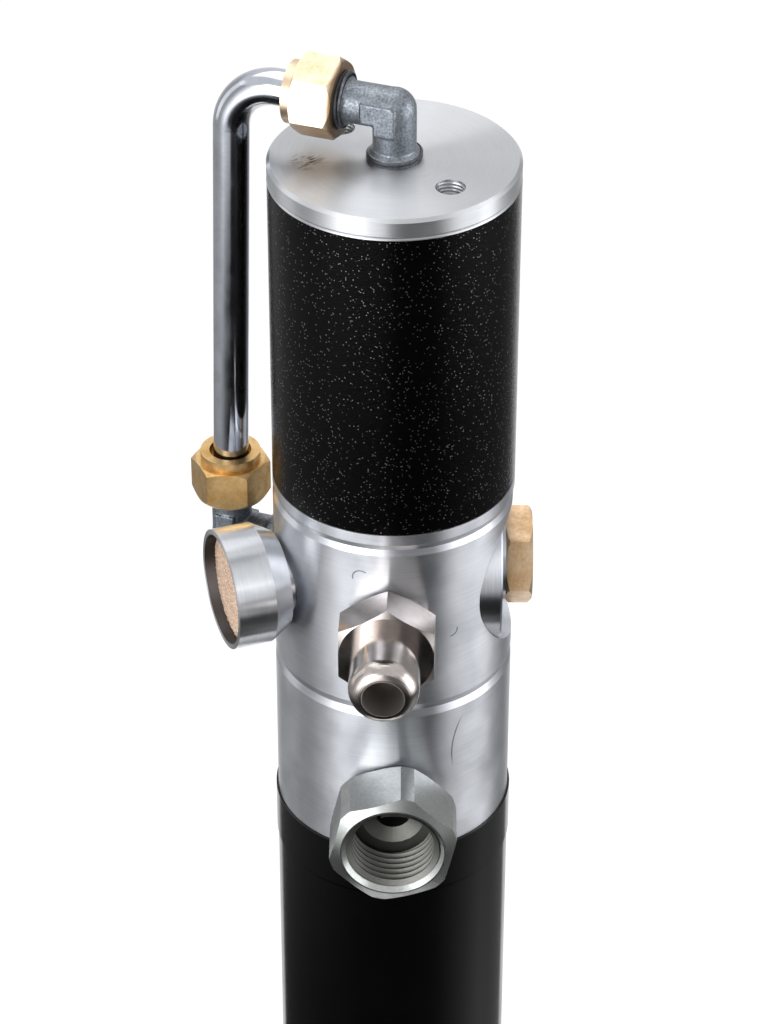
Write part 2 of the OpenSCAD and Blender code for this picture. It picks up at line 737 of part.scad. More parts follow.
// Outlet body: socket for the valve body above, pumping chamber and outlet port
// in the middle, threaded spigot for the collar below.
module outlet_body() {
    socket_z = valve_z - joint_spigot_h - rest_gap;
    color("silver") difference() {
        rotate_extrude() polygon([
            [chamber_r, outlet_z - collar_spigot_h], [collar_r - seat_gap, outlet_z - collar_spigot_h],
            [collar_r - seat_gap, outlet_z], [pump_r, outlet_z],
            [pump_r, valve_z - seam_bevel_h], [pump_r - groove_depth, valve_z],
            [joint_r + seat_gap, valve_z], [joint_r + seat_gap, socket_z],
            [bush_d / 2, socket_z], [bush_d / 2, socket_z - chamber_web],
            [chamber_r, socket_z - chamber_web]
        ]);
        port(-90, mouth_z) {
            hole(outlet_spigot_d / 2 + seat_gap, 0, pump_r + over);
            hole(outlet_neck_d / 2 + seat_gap, port_seat, pump_r + over);
        }
    }
}

module joint_oring() {
    color("black") oring_in_bore(joint_r + seat_gap, joint_oring_z);
}

// Outlet fitting: a hexagon with turned corners, female thread and cone seat
module outlet_fitting() {
    face = fitting_back + outlet_hex_h;
    turned_r = outlet_turned_d / 2;
    thread_r = outlet_thread_d / 2;
    way_r = outlet_way_d / 2;
    seat_r = (way_r + outlet_neck_d / 2) / 2;
    floor_z = fitting_back + outlet_web;
    tip = port_seat - outlet_spigot_h;
    color("darkgray") port(-90, mouth_z) difference() {
        union() {
            translate([0, 0, fitting_back]) rotate(outlet_turn) intersection() {
                cylinder(h = outlet_hex_h, d = outlet_af / cos(30), $fn = 6);
                rotate_extrude() polygon([
                    [0, 0], [turned_r - outlet_sink, 0],
                    [turned_r, outlet_sink * tan(hex_slope)],
                    [turned_r, outlet_hex_h - outlet_bevel_h],
                    [outlet_face_d / 2, outlet_hex_h], [0, outlet_hex_h]
                ]);
            }
            hole(outlet_neck_d / 2, port_seat, fitting_back + over);
            hole(outlet_spigot_d / 2, tip, fitting_back);
        }
        rotate_extrude() polygon([
            [0, tip - over], [way_r, tip - over],
            [way_r, floor_z - (seat_r - way_r) * tan(hex_slope)], [seat_r, floor_z],
            [thread_r, floor_z],
            [thread_r, face - outlet_sink], [thread_r + outlet_sink, face],
            [thread_r + outlet_sink, face + over], [0, face + over]
        ]);
    }
}

module collar() {
    color("dimgray") translate([0, 0, collar_z]) rotate_extrude() polygon([
        [collar_r, 0], [collar_out_r - cylinder_bevel / 2, 0],
        [collar_out_r, cylinder_bevel / 2], [collar_out_r, collar_h - cylinder_bevel / 2],
        [collar_out_r - cylinder_bevel / 2, collar_h], [collar_r, collar_h]
    ]);
}

module tube_gasket() {
    color("firebrick") translate([0, 0, outlet_z - collar_spigot_h - gasket_h])
        pipe_ring(collar_r - seat_gap, tube_r, gasket_h);
}

module suction_tube() {
    end_z = outlet_z - collar_spigot_h - gasket_h;
    color("dimgray") rotate_extrude() polygon([
        [tube_r, tube_end_z], [tube_out_r, tube_end_z], [tube_out_r, collar_z],
        [collar_r - seat_gap, collar_z], [collar_r - seat_gap, end_z], [tube_r, end_z]
    ]);
}

// A forged elbow in the plane of its arms. Its corner is at zero, the stud points
// down and the nut's thread points along +X, its shoulder at arm.
module elbow(arm) {
    r = elbow_d / 2;
    land = elbow_land_w / 2;
    upright = elbow_land_shift;
    color("slategray") difference() {
        union() {
            // Forged corner: two round arms, trimmed to a rounded outline
            intersection() {
                linear_extrude(height = 2 * elbow_d, center = true) union() {
                    translate([elbow_round - r, -stud_base]) square([elbow_d - elbow_round, stud_base + r]);
                    translate([-r, -stud_base]) square([elbow_d, stud_base + r - elbow_round]);
                    translate([elbow_round - r, r - elbow_round]) circle(elbow_round);
                    translate([0, -r]) square([arm - shoulder_h, elbow_d]);
                }
                union() {
                    translate([0, r, 0]) rotate([90, 0, 0]) cylinder(h = stud_base + r, r = r);
                    translate([-r, 0, 0]) rotate([0, 90, 0])
                        cylinder(h = arm - shoulder_h + r, r = r);
                }
            }
            // Flat lands for a spanner, on both sides
            linear_extrude(height = elbow_d + 2 * elbow_land_h, center = true) polygon([
                [upright - land, land], [upright - land, -elbow_land_drop],
                [upright + land, -elbow_land_drop], [upright + land, -land],
                [elbow_land_reach, -land], [elbow_land_reach, land]
            ]);
            // Stud with its flare
            rotate([90, 0, 0]) rotate_extrude() polygon([
                [0, stud_base - elbow_round], [r, stud_base - elbow_round], [r, stud_base - over],
                [stud_d / 2, stud_base + stud_flare_h / 2], [stud_d / 2, stud_base + stud_h],
                [0, stud_base + stud_h]
            ]);
            // Shoulder and the nut's thread
            rotate([0, 90, 0]) {
                hole(shoulder_d / 2, arm - shoulder_h, arm + over);
                hole(tail_d / 2 - seat_gap, arm - shoulder_h / 2, arm + tail_h);
            }
        }
        rotate([90, 0, 0]) hole(elbow_way_d / 2, 0, stud_base + stud_h + over);
        rotate([0, 90, 0]) {
            hole(pipe_in_r, -pipe_in_r, arm + tail_h + over);
            hole(pipe_d / 2 + rest_gap, arm + tail_h - pipe_seat_h - rest_gap, arm + tail_h + over);
        }
    }
}

module upper_elbow() {
    radial_plane(bypass_az) translate([0, elbow_z]) elbow(upper_arm);
}

module lower_elbow() {
    radial_plane(bypass_az) translate([lower_rho, front_z]) mirror([1, -1, 0]) elbow(lower_arm);
}

// Brass nut with its face at zero and its neck up, bored for the elbow's thread,
// the ferrule and the pipe.
module brass_nut() {
    floor_z = nut_hex_h - seat_gap;
    back_h = chamfer_h(nut_af, 2 * nut_corner);
    color("goldenrod") difference() {
        union() {
            intersection() {
                cylinder(h = nut_hex_h, r = nut_corner, $fn = 6);
                rotate_extrude() polygon([
                    [0, 0], [nut_af / 2, 0], [nut_corner, nut_bevel_h],
                    [nut_corner, nut_hex_h - back_h], [nut_af / 2, nut_hex_h], [0, nut_hex_h]
                ]);
            }
            hole(nut_neck_d / 2, nut_hex_h / 2, nut_hex_h + nut_neck_h);
        }
        hole(tail_d / 2, -over, floor_z);
        hole(pipe_d / 2 + nut_clearance, 0, nut_hex_h + nut_neck_h + over);
    }
}

module upper_nut() {
    radial_plane(bypass_az) translate([upper_arm, elbow_z]) rotate([0, 90, 0])
        rotate(upper_nut_turn) brass_nut();
}

module lower_nut() {
    radial_plane(bypass_az) translate([lower_rho, front_z + lower_arm]) rotate([-90, 0, 0])
        rotate(lower_nut_turn) brass_nut();
}

// Tapered ring that the nut squeezes onto the pipe
module ferrule() {
    from = tail_h + rest_gap;
    to = nut_hex_h - rest_gap;
    ri = pipe_d / 2 + seat_gap / 2;
    ro = tail_d / 2 - rest_gap;
    rotate_extrude() polygon([
        [ri, from], [(ri + ro) / 2, from], [ro, (2 * from + to) / 3],
        [ro, (from + 2 * to) / 3], [(ri + ro) / 2, to], [ri, to]
    ]);
}

module ferrules() {
    color("khaki") pipe_frame() {
        translate([upper_arm, 0]) rotate([0, 90, 0]) ferrule();
        translate([pipe_stand, -pipe_drop(front_z + lower_arm)]) rotate([-90, 0, 0]) ferrule();
    }
}

// The bent pipe's plane, leant about its upper tip. Zero is on the pump axis.
module pipe_frame() {
    radial_plane(bypass_az) translate([upper_pipe_tip, elbow_z]) rotate(pipe_lean)
        translate([-upper_pipe_tip, 0]) children();
}

// A round rod along the pipe's centre line: out, round the bend and down
module pipe_core(r, extra) {
    bend_x = pipe_stand - pipe_bend_r;
    leg_l = pipe_drop(front_z + lower_pipe_tip) - pipe_bend_r;
    translate([upper_pipe_tip - extra, 0]) rotate([0, 90, 0])
        cylinder(h = bend_x - upper_pipe_tip + extra, r = r);
    translate([bend_x, -pipe_bend_r]) {
        rotate_extrude(angle = 90) translate([pipe_bend_r, 0]) circle(r);
        translate([pipe_bend_r, 0]) rotate([90, 0, 0]) cylinder(h = leg_l + extra, r = r);
    }
}

module bypass_pipe() {
    color("lightsteelblue") pipe_frame() difference() {
        pipe_core(pipe_d / 2, 0);
        pipe_core(pipe_in_r, over);
    }
}

// Foot valve body: spigot in the tube, flange, seat for the ball and a nose that
// carries the strainer.
module foot_body() {
    nose_r = foot_r - strainer_wall - seat_gap;
    orifice_r = foot_ball_r * orifice_share;
    room_r = foot_ball_r + ball_room;
    spigot_r = tube_r - seat_gap;
    color("gray") difference() {
        rotate_extrude() polygon([
            [orifice_r, strainer_z - strainer_grip], [nose_r, strainer_z - strainer_grip],
            [nose_r, strainer_z], [foot_r, strainer_z], [foot_r, tube_end_z],
            [spigot_r, tube_end_z], [spigot_r, foot_top_z], [room_r, foot_top_z],
            [room_r, strainer_z + (room_r - orifice_r) * tan(seat_slope)],
            [orifice_r, strainer_z]
        ]);
        translate([0, 0, stop_pin_z]) rotate([0, 90, 0])
            cylinder(h = 2 * pump_r, r = stop_pin_d / 2 + seat_gap, center = true);
    }
}

module stop_pin() {
    color("silver") translate([0, 0, stop_pin_z]) rotate([0, 90, 0])
        cylinder(h = 2 * (tube_r - 3 * seat_gap), d = stop_pin_d, center = true);
}

// Strainer: a drawn cup with upright slots, closed below
module strainer() {
    inner_r = foot_r - strainer_wall;
    slot_z = foot_z + strainer_wall + slot_w / 2;
    color("silver") difference() {
        translate([0, 0, foot_z]) rotate_extrude() polygon([
            [0, 0], [inner_r, 0], [foot_r, strainer_wall],
            [foot_r, strainer_h], [inner_r, strainer_h],
            [inner_r, strainer_wall], [0, strainer_wall]
        ]);
        for (i = [0 : strainer_slots - 1]) rotate(360 * i / strainer_slots)
            translate([0, 0, slot_z + slot_w / 2]) rotate([90, 0, 90])
                linear_extrude(height = 2 * foot_r) {
                    translate([-slot_w / 2, 0]) square([slot_w, slot_h - slot_w]);
                    circle(d = slot_w);
                    translate([0, slot_h - slot_w]) circle(d = slot_w);
                }
    }
}

// Piston rod: one bar with a turned end for the air piston and one for the yoke
module piston_rod() {
    end_l = hub_h - rest_gap;
    color("lightgray") {
        hole(rod_r, hub_top_z, piston_z);
        hole(rod_end_r, hub_top_z - end_l, piston_top_z - rest_gap);
    }
}

function air_ring_places() = [
    piston_z + piston_land + groove_w / 2, piston_top_z - piston_land - groove_w / 2
];

module air_piston() {
    r = air_r - rest_gap;
    color("lightsteelblue") difference() {
        hole(r, piston_z, piston_top_z);
        hole(rod_end_r + seat_gap, piston_z - over, piston_top_z + over);
        hole(rod_nut_af / 2 / cos(30) + rest_gap, piston_top_z - nut_recess_h, piston_top_z + over);
        for (z = air_ring_places()) oring_groove(air_r, z);
        translate([0, 0, piston_z + (air_piston_h - band_h) / 2 - seat_gap])
            pipe_ring(air_r + over, air_r - band_t - run_gap, band_h + 2 * seat_gap);
    }
}

module rod_nut() {
    color("silver") translate([0, 0, piston_top_z - nut_recess_h]) difference() {
        hex_bar(rod_nut_af, rod_nut_h, rod_nut_af / cos(30));
        hole(rod_end_r + seat_gap, -over, rod_nut_h + over);
    }
}

module air_piston_rings() {
    color("black") for (z = air_ring_places())
        oring_in_bore(air_r - run_gap / 2, z);
}

module air_piston_band() {
    color("saddlebrown") translate([0, 0, piston_z + (air_piston_h - band_h) / 2])
        pipe_ring(air_r - run_gap, air_r - band_t, band_h);
}

// Pump piston: seat for its ball, chamber, and grooves for two rings
module pump_piston() {
    r = tube_r - rest_gap;
    orifice_r = piston_ball_r * orifice_share;
    color("darkgray") difference() {
        rotate_extrude() polygon([
            [orifice_r, pump_piston_z], [r, pump_piston_z], [r, yoke_z], [piston_chamber_r, yoke_z],
            [piston_chamber_r, piston_seat_z + (piston_chamber_r - orifice_r) * tan(seat_slope)],
            [orifice_r, piston_seat_z]
        ]);
        for (z = ring_places()) translate([0, 0, z - seat_gap])
            pipe_ring(tube_r + over, tube_r - band_t - run_gap, ring_h + 2 * seat_gap);
    }
}

function ring_places() = [
    pump_piston_z + ring_h, yoke_z - 2 * ring_h
];

module pump_piston_rings() {
    color("saddlebrown") for (z = ring_places())
        translate([0, 0, z]) pipe_ring(tube_r - run_gap, tube_r - band_t, ring_h);
}

// Yoke: stops the piston's ball, lets the liquid past and holds the rod
module piston_yoke() {
    flow_r = (piston_chamber_r - hub_r) * yoke_hole_share / 2;
    color("silver") difference() {
        union() {
            hole(piston_chamber_r - seat_gap, yoke_stop_z, yoke_z + yoke_h / 2);
            hole(tube_r - yoke_inset, yoke_z, yoke_z + yoke_h);
            hole(hub_r, yoke_z, hub_top_z);
        }
        hole(rod_end_r + seat_gap, hub_top_z - hub_h, hub_top_z + over);
        for (i = [0 : 5]) rotate(60 * i) translate([(hub_r + piston_chamber_r) / 2, 0, 0])
            hole(flow_r, yoke_stop_z - over, yoke_z + yoke_h + over);
    }
}

module piston_ball() {
    color("gainsboro") translate([0, 0, piston_ball_z]) sphere(piston_ball_r);
}

module foot_ball() {
    color("gainsboro") translate([0, 0, foot_ball_z]) sphere(foot_ball_r);
}

top_cap();
bore_orings();
bumpers();
air_cylinder();
valve_body();
rod_bushes();
rod_seals();
valve_housing();
plug_washer();
side_plug();
inlet_nipple();
muffler_cup();
muffler_disc();
outlet_body();
joint_oring();
outlet_fitting();
collar();
tube_gasket();
suction_tube();
upper_elbow();
lower_elbow();
upper_nut();
lower_nut();
ferrules();
bypass_pipe();
foot_body();
stop_pin();
strainer();
piston_rod();
air_piston();
rod_nut();
air_piston_rings();
air_piston_band();
pump_piston();
piston_yoke();
pump_piston_rings();
piston_ball();
foot_ball();
shuttle();
shuttle_oring();
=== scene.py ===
import json
import math
import bmesh
import bpy
from mathutils import Matrix, Vector, noise


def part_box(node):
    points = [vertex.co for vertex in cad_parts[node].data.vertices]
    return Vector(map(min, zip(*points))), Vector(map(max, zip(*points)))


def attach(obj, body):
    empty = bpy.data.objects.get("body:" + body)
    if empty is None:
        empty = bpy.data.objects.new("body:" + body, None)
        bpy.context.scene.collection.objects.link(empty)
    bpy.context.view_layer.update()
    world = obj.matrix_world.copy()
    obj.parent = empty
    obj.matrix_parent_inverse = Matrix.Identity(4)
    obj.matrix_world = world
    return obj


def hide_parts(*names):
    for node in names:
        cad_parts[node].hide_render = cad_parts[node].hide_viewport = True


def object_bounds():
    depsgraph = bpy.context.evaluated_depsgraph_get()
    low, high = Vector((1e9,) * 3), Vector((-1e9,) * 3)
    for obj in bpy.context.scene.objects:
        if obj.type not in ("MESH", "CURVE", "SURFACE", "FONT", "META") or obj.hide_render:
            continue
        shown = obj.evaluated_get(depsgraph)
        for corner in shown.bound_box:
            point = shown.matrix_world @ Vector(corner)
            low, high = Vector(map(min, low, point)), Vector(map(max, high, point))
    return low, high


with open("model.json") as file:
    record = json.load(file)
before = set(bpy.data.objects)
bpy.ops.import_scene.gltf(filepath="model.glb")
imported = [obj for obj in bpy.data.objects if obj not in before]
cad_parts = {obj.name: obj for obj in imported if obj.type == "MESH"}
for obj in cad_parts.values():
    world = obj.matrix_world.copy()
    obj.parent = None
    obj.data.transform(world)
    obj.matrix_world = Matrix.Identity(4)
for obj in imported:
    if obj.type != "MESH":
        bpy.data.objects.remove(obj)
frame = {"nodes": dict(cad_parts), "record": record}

cad_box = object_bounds()
nodes = frame["nodes"]
mounts = {mount["name"]: mount for mount in frame["record"]["mounts"]}
scene = bpy.context.scene

# Camera
# It stands 0.65 m in front of the pump's axis and looks down at the head. Its place
# and its lens were solved from the cap, the edges of the bodies and the fittings.
lens_mm = 124.1
look_down = 34.48
camera_roll = 0.12
camera_place = (-0.0008, -0.65267, 0.59705)
camera = bpy.data.objects.new("camera", bpy.data.cameras.new("camera"))
camera.data.sensor_fit = "AUTO"
camera.data.sensor_width = 36
camera.data.lens = lens_mm
camera.data.clip_end = 50
camera.location = camera_place
tilt = Matrix.Rotation(math.radians(90 - look_down), 3, "X")
roll = Matrix.Rotation(math.radians(camera_roll), 3, "Z")
camera.rotation_euler = (tilt @ roll).to_euler()
scene.collection.objects.link(camera)
scene.camera = camera
scene.view_settings.view_transform = "Standard"


# White backdrop and paper floor
# A sheet of pale paper lies just under the strainer. To the camera, and to metal that
# mirrors them, paper and backdrop are white, while they light the pump less.
def linear(colour):
    """sRGB hex to a linear colour."""
    parts = [int(colour[i:i + 2], 16) / 255 for i in (1, 3, 5)]
    return [c / 12.92 if c <= 0.04045 else ((c + 0.055) / 1.055) ** 2.4 for c in parts] + [1]


def add(tree, kind, sockets=None, **settings):
    """Adds a node, makes its settings and fills its sockets with values or links."""
    node = tree.nodes.new(kind)
    for key, value in settings.items():
        setattr(node, key, value)
    for key, value in (sockets or {}).items():
        if isinstance(value, bpy.types.NodeSocket):
            tree.links.new(value, node.inputs[key])
        else:
            node.inputs[key].default_value = value
    return node


def mesh_piece(name, points, faces, smooth=True):
    """A piece from points and faces in metres."""
    mesh = bpy.data.meshes.new(name)
    mesh.from_pydata([tuple(p) for p in points], [], faces)
    mesh.validate()
    shape = bmesh.new()
    shape.from_mesh(mesh)
    bmesh.ops.recalc_face_normals(shape, faces=shape.faces)
    shape.to_mesh(mesh)
    shape.free()
    for polygon in mesh.polygons:
        polygon.use_smooth = smooth
    piece = bpy.data.objects.new(name, mesh)
    scene.collection.objects.link(piece)
    return piece


world = bpy.data.worlds.new("white_backdrop")
scene.world = world
world.use_nodes = True
sky = world.node_tree
sky.nodes.clear()
ray = add(sky, "ShaderNodeLightPath")
seen = add(sky, "ShaderNodeMath", {0: ray.outputs["Is Camera Ray"], 1: ray.outputs["Is Glossy Ray"]},
           operation="MAXIMUM")
seen = add(sky, "ShaderNodeMath", {0: seen.outputs[0], 1: ray.outputs["Is Transmission Ray"]},
           operation="MAXIMUM")
level = add(sky, "ShaderNodeMapRange", {"Value": seen.outputs[0], "To Min": 0.5, "To Max": 1.0})
glow = add(sky, "ShaderNodeBackground", {"Color": linear("#FFFFFF"), "Strength": level.outputs[0]})
add(sky, "ShaderNodeOutputWorld", {"Surface": glow.outputs[0]})

floor_half = 6
floor_gap = 0.0005
floor_z = cad_box[0].z - floor_gap
floor_corners = [(-floor_half, -floor_half, floor_z), (floor_half, -floor_half, floor_z),
                 (floor_half, floor_half, floor_z), (-floor_half, floor_half, floor_z)]
floor = mesh_piece("floor", floor_corners, [(0, 1, 2, 3)], smooth=False)
paper = bpy.data.materials.new("white_paper_floor")
paper.use_nodes = True
tree = paper.node_tree
tree.nodes.clear()
ray = add(tree, "ShaderNodeLightPath")
seen = add(tree, "ShaderNodeMath", {0: ray.outputs["Is Camera Ray"], 1: ray.outputs["Is Glossy Ray"]},
           operation="MAXIMUM")
level = add(tree, "ShaderNodeMapRange", {"Value": seen.outputs[0], "To Min": 0.0, "To Max": 0.62})
glow = add(tree, "ShaderNodeEmission", {"Color": linear("#FFFFFF"), "Strength": level.outputs[0]})
fibre_length = 0.00111
fibre = add(tree, "ShaderNodeTexNoise", {"Scale": 1 / fibre_length, "Detail": 2.0})
white = add(tree, "ShaderNodeMix", {0: fibre.outputs[0], 6: linear("#E4E4E4"), 7: linear("#ECECEC")},
            data_type="RGBA")
matt = add(tree, "ShaderNodeBsdfDiffuse", {"Color": white.outputs[2]})
both = add(tree, "ShaderNodeAddShader", {0: glow.outputs[0], 1: matt.outputs[0]})
add(tree, "ShaderNodeOutputMaterial", {"Surface": both.outputs[0]})
floor.data.materials.append(paper)

# Dark surround
# Cloth hung round the front: only what mirrors it sees it. Its tone changes with
# direction and height, as a dark room with softboxes does behind a camera.
rings = [(0.30, -0.84), (0.85, -0.80), (1.15, -0.45), (1.2, 0.1), (1.2, 0.75)]
steps = 72
sweep = 300
cloth_points, cloth_faces = [], []
for i in range(steps + 1):
    turn = math.radians(-sweep / 2 + sweep * i / steps)
    for r, z in rings:
        cloth_points.append((r * math.sin(turn), -r * math.cos(turn), z))
for i in range(steps):
    for j in range(len(rings) - 1):
        k = i * len(rings) + j
        cloth_faces.append((k, k + 1, k + 1 + len(rings), k + len(rings)))
cloth = mesh_piece("dark_surround", cloth_points, cloth_faces)
felt = bpy.data.materials.new("dark_felt")
felt.use_nodes = True
tree = felt.node_tree
tree.nodes.clear()
where = add(tree, "ShaderNodeTexCoord")
at = add(tree, "ShaderNodeSeparateXYZ", {0: where.outputs["Object"]})
ahead = add(tree, "ShaderNodeMath", {0: at.outputs[1], 1: -1.0}, operation="MULTIPLY")
turn = add(tree, "ShaderNodeMath", {0: at.outputs[0], 1: ahead.outputs[0]}, operation="ARCTAN2")
turn = add(tree, "ShaderNodeMapRange", {"Value": turn.outputs[0], "From Min": -math.pi,
                                        "From Max": math.pi})
# direction in degrees from the camera, then the light near the floor, halfway up and above
brightest = 3.0
stops = [(-150, 0.06, 0.34, 0.70), (-126, 0.06, 0.42, 0.55), (-100, 0.05, 0.50, 0.45),
         (-76, 0.03, 0.56, 0.60), (-64, 0.02, 0.50, 1.4), (-52, 0.02, 0.36, 2.9),
         (-38, 0.01, 0.16, 3.0), (-22, 0.01, 0.05, 2.9), (-8, 0.01, 0.02, 2.8),
         (-4, 0.01, 0.01, 0.5), (6, 0.01, 0.01, 0.16), (36, 0.03, 0.01, 0.26),
         (46, 0.06, 0.01, 1.4), (54, 0.12, 0.01, 2.6), (66, 0.22, 0.02, 3.0),
         (82, 0.36, 0.04, 2.9), (98, 0.45, 0.08, 1.6), (116, 0.28, 0.16, 0.5),
         (150, 0.20, 0.30, 0.4)]
bands = []
for level in (1, 2, 3):
    band = add(tree, "ShaderNodeValToRGB", {0: turn.outputs[0]})
    while len(band.color_ramp.elements) < len(stops):
        band.color_ramp.elements.new(0.5)
    for mark, stop in zip(band.color_ramp.elements, stops):
        mark.position = (stop[0] + 180) / 360
        mark.color = (stop[level] / brightest,) * 3 + (1,)
    bands.append(band.outputs[0])
# each band passes into the one above it between two heights
tone = bands[0]
for band, low, high in ((bands[1], -0.76, -0.46), (bands[2], -0.48, -0.15)):
    lift = add(tree, "ShaderNodeMapRange", {"Value": at.outputs[2], "From Min": low, "From Max": high})
    tone = add(tree, "ShaderNodeMix", {0: lift.outputs[0], 6: tone, 7: band}, data_type="RGBA").outputs[2]
glow = add(tree, "ShaderNodeEmission", {"Color": tone, "Strength": brightest})
add(tree, "ShaderNodeOutputMaterial", {"Surface": glow.outputs[0]})
cloth.data.materials.append(felt)
cloth.visible_camera = False
cloth.visible_diffuse = False
cloth.visible_shadow = False
cloth.visible_transmission = False

# Softboxes
# A big softbox stands front left, a narrow strip stands on each side and a large flat
# one hangs over the back. All four point at the middle of the head.
head = Vector((0, 0, 0.14))
for name, azimuth, elevation, distance, wide, tall, radiance in [
        ("key_softbox", -36, 16, 1.05, 0.55, 0.8, 2.6),
        ("side_strip", 86, 8, 1.0, 0.3, 0.8, 1.5),
        ("left_strip", -104, 10, 1.0, 0.4, 0.9, 0.9),
        ("top_softbox", -150, 68, 1.1, 0.9, 0.9, 1.2)]:
    lamp = bpy.data.objects.new(name, bpy.data.lights.new(name, "AREA"))
    lamp.data.shape = "RECTANGLE"
    lamp.data.size = wide
    lamp.data.size_y = tall
    lamp.data.energy = radiance * math.pi * wide * tall
    round_by = math.radians(azimuth)
    up_by = math.radians(elevation)
    away = Vector((math.sin(round_by) * math.cos(up_by), -math.cos(round_by) * math.cos(up_by),
                   math.sin(up_by)))
    lamp.location = head + away * distance
    lamp.rotation_euler = away.to_track_quat("Z", "Y").to_euler()
    scene.collection.objects.link(lamp)


# Turned aluminium
# Cap, both bodies, valve housing and plug washer are turned from aluminium bar and
# left bare. The fine rings of each lathe axis draw a highlight out into a streak.
def finish_of(name, **shader):
    """A new material with its tree and its one Principled shader."""
    material = bpy.data.materials.new(name)
    material.use_nodes = True
    tree = material.node_tree
    tree.nodes.clear()
    values = {key.replace("_", " "): value for key, value in shader.items()}
    skin = add(tree, "ShaderNodeBsdfPrincipled", values)
    add(tree, "ShaderNodeOutputMaterial", {"Surface": skin.outputs[0]})
    return material, tree, skin


def lathe_rings(tree, centre, axis, feed):
    """A lathe axis for a material: the place, how far it is along the axis and out from it,
    the direction round the axis, and a pattern of rings that are one feed apart."""
    where = add(tree, "ShaderNodeTexCoord")
    arm = add(tree, "ShaderNodeVectorMath", {0: where.outputs["Object"], 1: centre},
              operation="SUBTRACT")
    along = add(tree, "ShaderNodeVectorMath", {0: arm.outputs[0], 1: axis}, operation="DOT_PRODUCT")
    shadow = add(tree, "ShaderNodeVectorMath", {0: axis, "Scale": along.outputs["Value"]},
                 operation="SCALE")
    out = add(tree, "ShaderNodeVectorMath", {0: arm.outputs[0], 1: shadow.outputs[0]},
              operation="SUBTRACT")
    radius = add(tree, "ShaderNodeVectorMath", {0: out.outputs[0]}, operation="LENGTH")
    spoke = add(tree, "ShaderNodeVectorMath", {0: out.outputs[0]}, operation="NORMALIZE")
    ring = add(tree, "ShaderNodeVectorMath", {0: axis, 1: spoke.outputs[0]},
               operation="CROSS_PRODUCT")
    # the sum of both distances puts rings on faces as well as on walls
    reach = add(tree, "ShaderNodeMath", {0: along.outputs["Value"], 1: radius.outputs["Value"]},
                operation="ADD")
    fine = add(tree, "ShaderNodeMath", {0: reach.outputs[0], 1: 1 / feed}, operation="MULTIPLY")
    pattern = add(tree, "ShaderNodeVectorMath", {0: axis, "Scale": fine.outputs[0]},
                  operation="SCALE")
    # a slow change on the way round keeps the rings from being perfect
    around = add(tree, "ShaderNodeVectorMath", {0: spoke.outputs[0], "Scale": 2.2},
                 operation="SCALE")
    pattern = add(tree, "ShaderNodeVectorMath", {0: pattern.outputs[0], 1: around.outputs[0]},
                  operation="ADD")
    return where, along, radius, ring, pattern


def scratched(tree, where, colour, dent, marks):
    """Scratches as thin arcs, each (centre, radius, direction of its middle, cosine at its ends)."""
    line_half, line_edge = 0.00008, 0.00022
    for centre, size, toward, least in marks:
        arm = add(tree, "ShaderNodeVectorMath", {0: where.outputs["Object"], 1: centre},
                  operation="SUBTRACT")
        far = add(tree, "ShaderNodeVectorMath", {0: arm.outputs[0]}, operation="LENGTH")
        off = add(tree, "ShaderNodeMath", {0: far.outputs["Value"], 1: size}, operation="SUBTRACT")
        off = add(tree, "ShaderNodeMath", {0: off.outputs[0]}, operation="ABSOLUTE")
        line = add(tree, "ShaderNodeMapRange", {"Value": off.outputs[0], "From Min": line_half,
                                                "From Max": line_edge, "To Min": 1.0, "To Max": 0.0})
        unit = add(tree, "ShaderNodeVectorMath", {0: arm.outputs[0]}, operation="NORMALIZE")
        side = add(tree, "ShaderNodeVectorMath", {0: unit.outputs[0], 1: toward},
                   operation="DOT_PRODUCT")
        side = add(tree, "ShaderNodeMapRange", {"Value": side.outputs["Value"], "From Min": least,
                                                "From Max": least + 0.05})
        line = add(tree, "ShaderNodeMath", {0: line.outputs[0], 1: side.outputs[0]},
                   operation="MULTIPLY")
        colour = add(tree, "ShaderNodeMix", {0: line.outputs[0], 6: colour, 7: linear("#74767E")},
                     data_type="RGBA").outputs[2]
        dent = add(tree, "ShaderNodeMath", {0: dent, 1: line.outputs[0]},
                   operation="SUBTRACT").outputs[0]
    return colour, dent


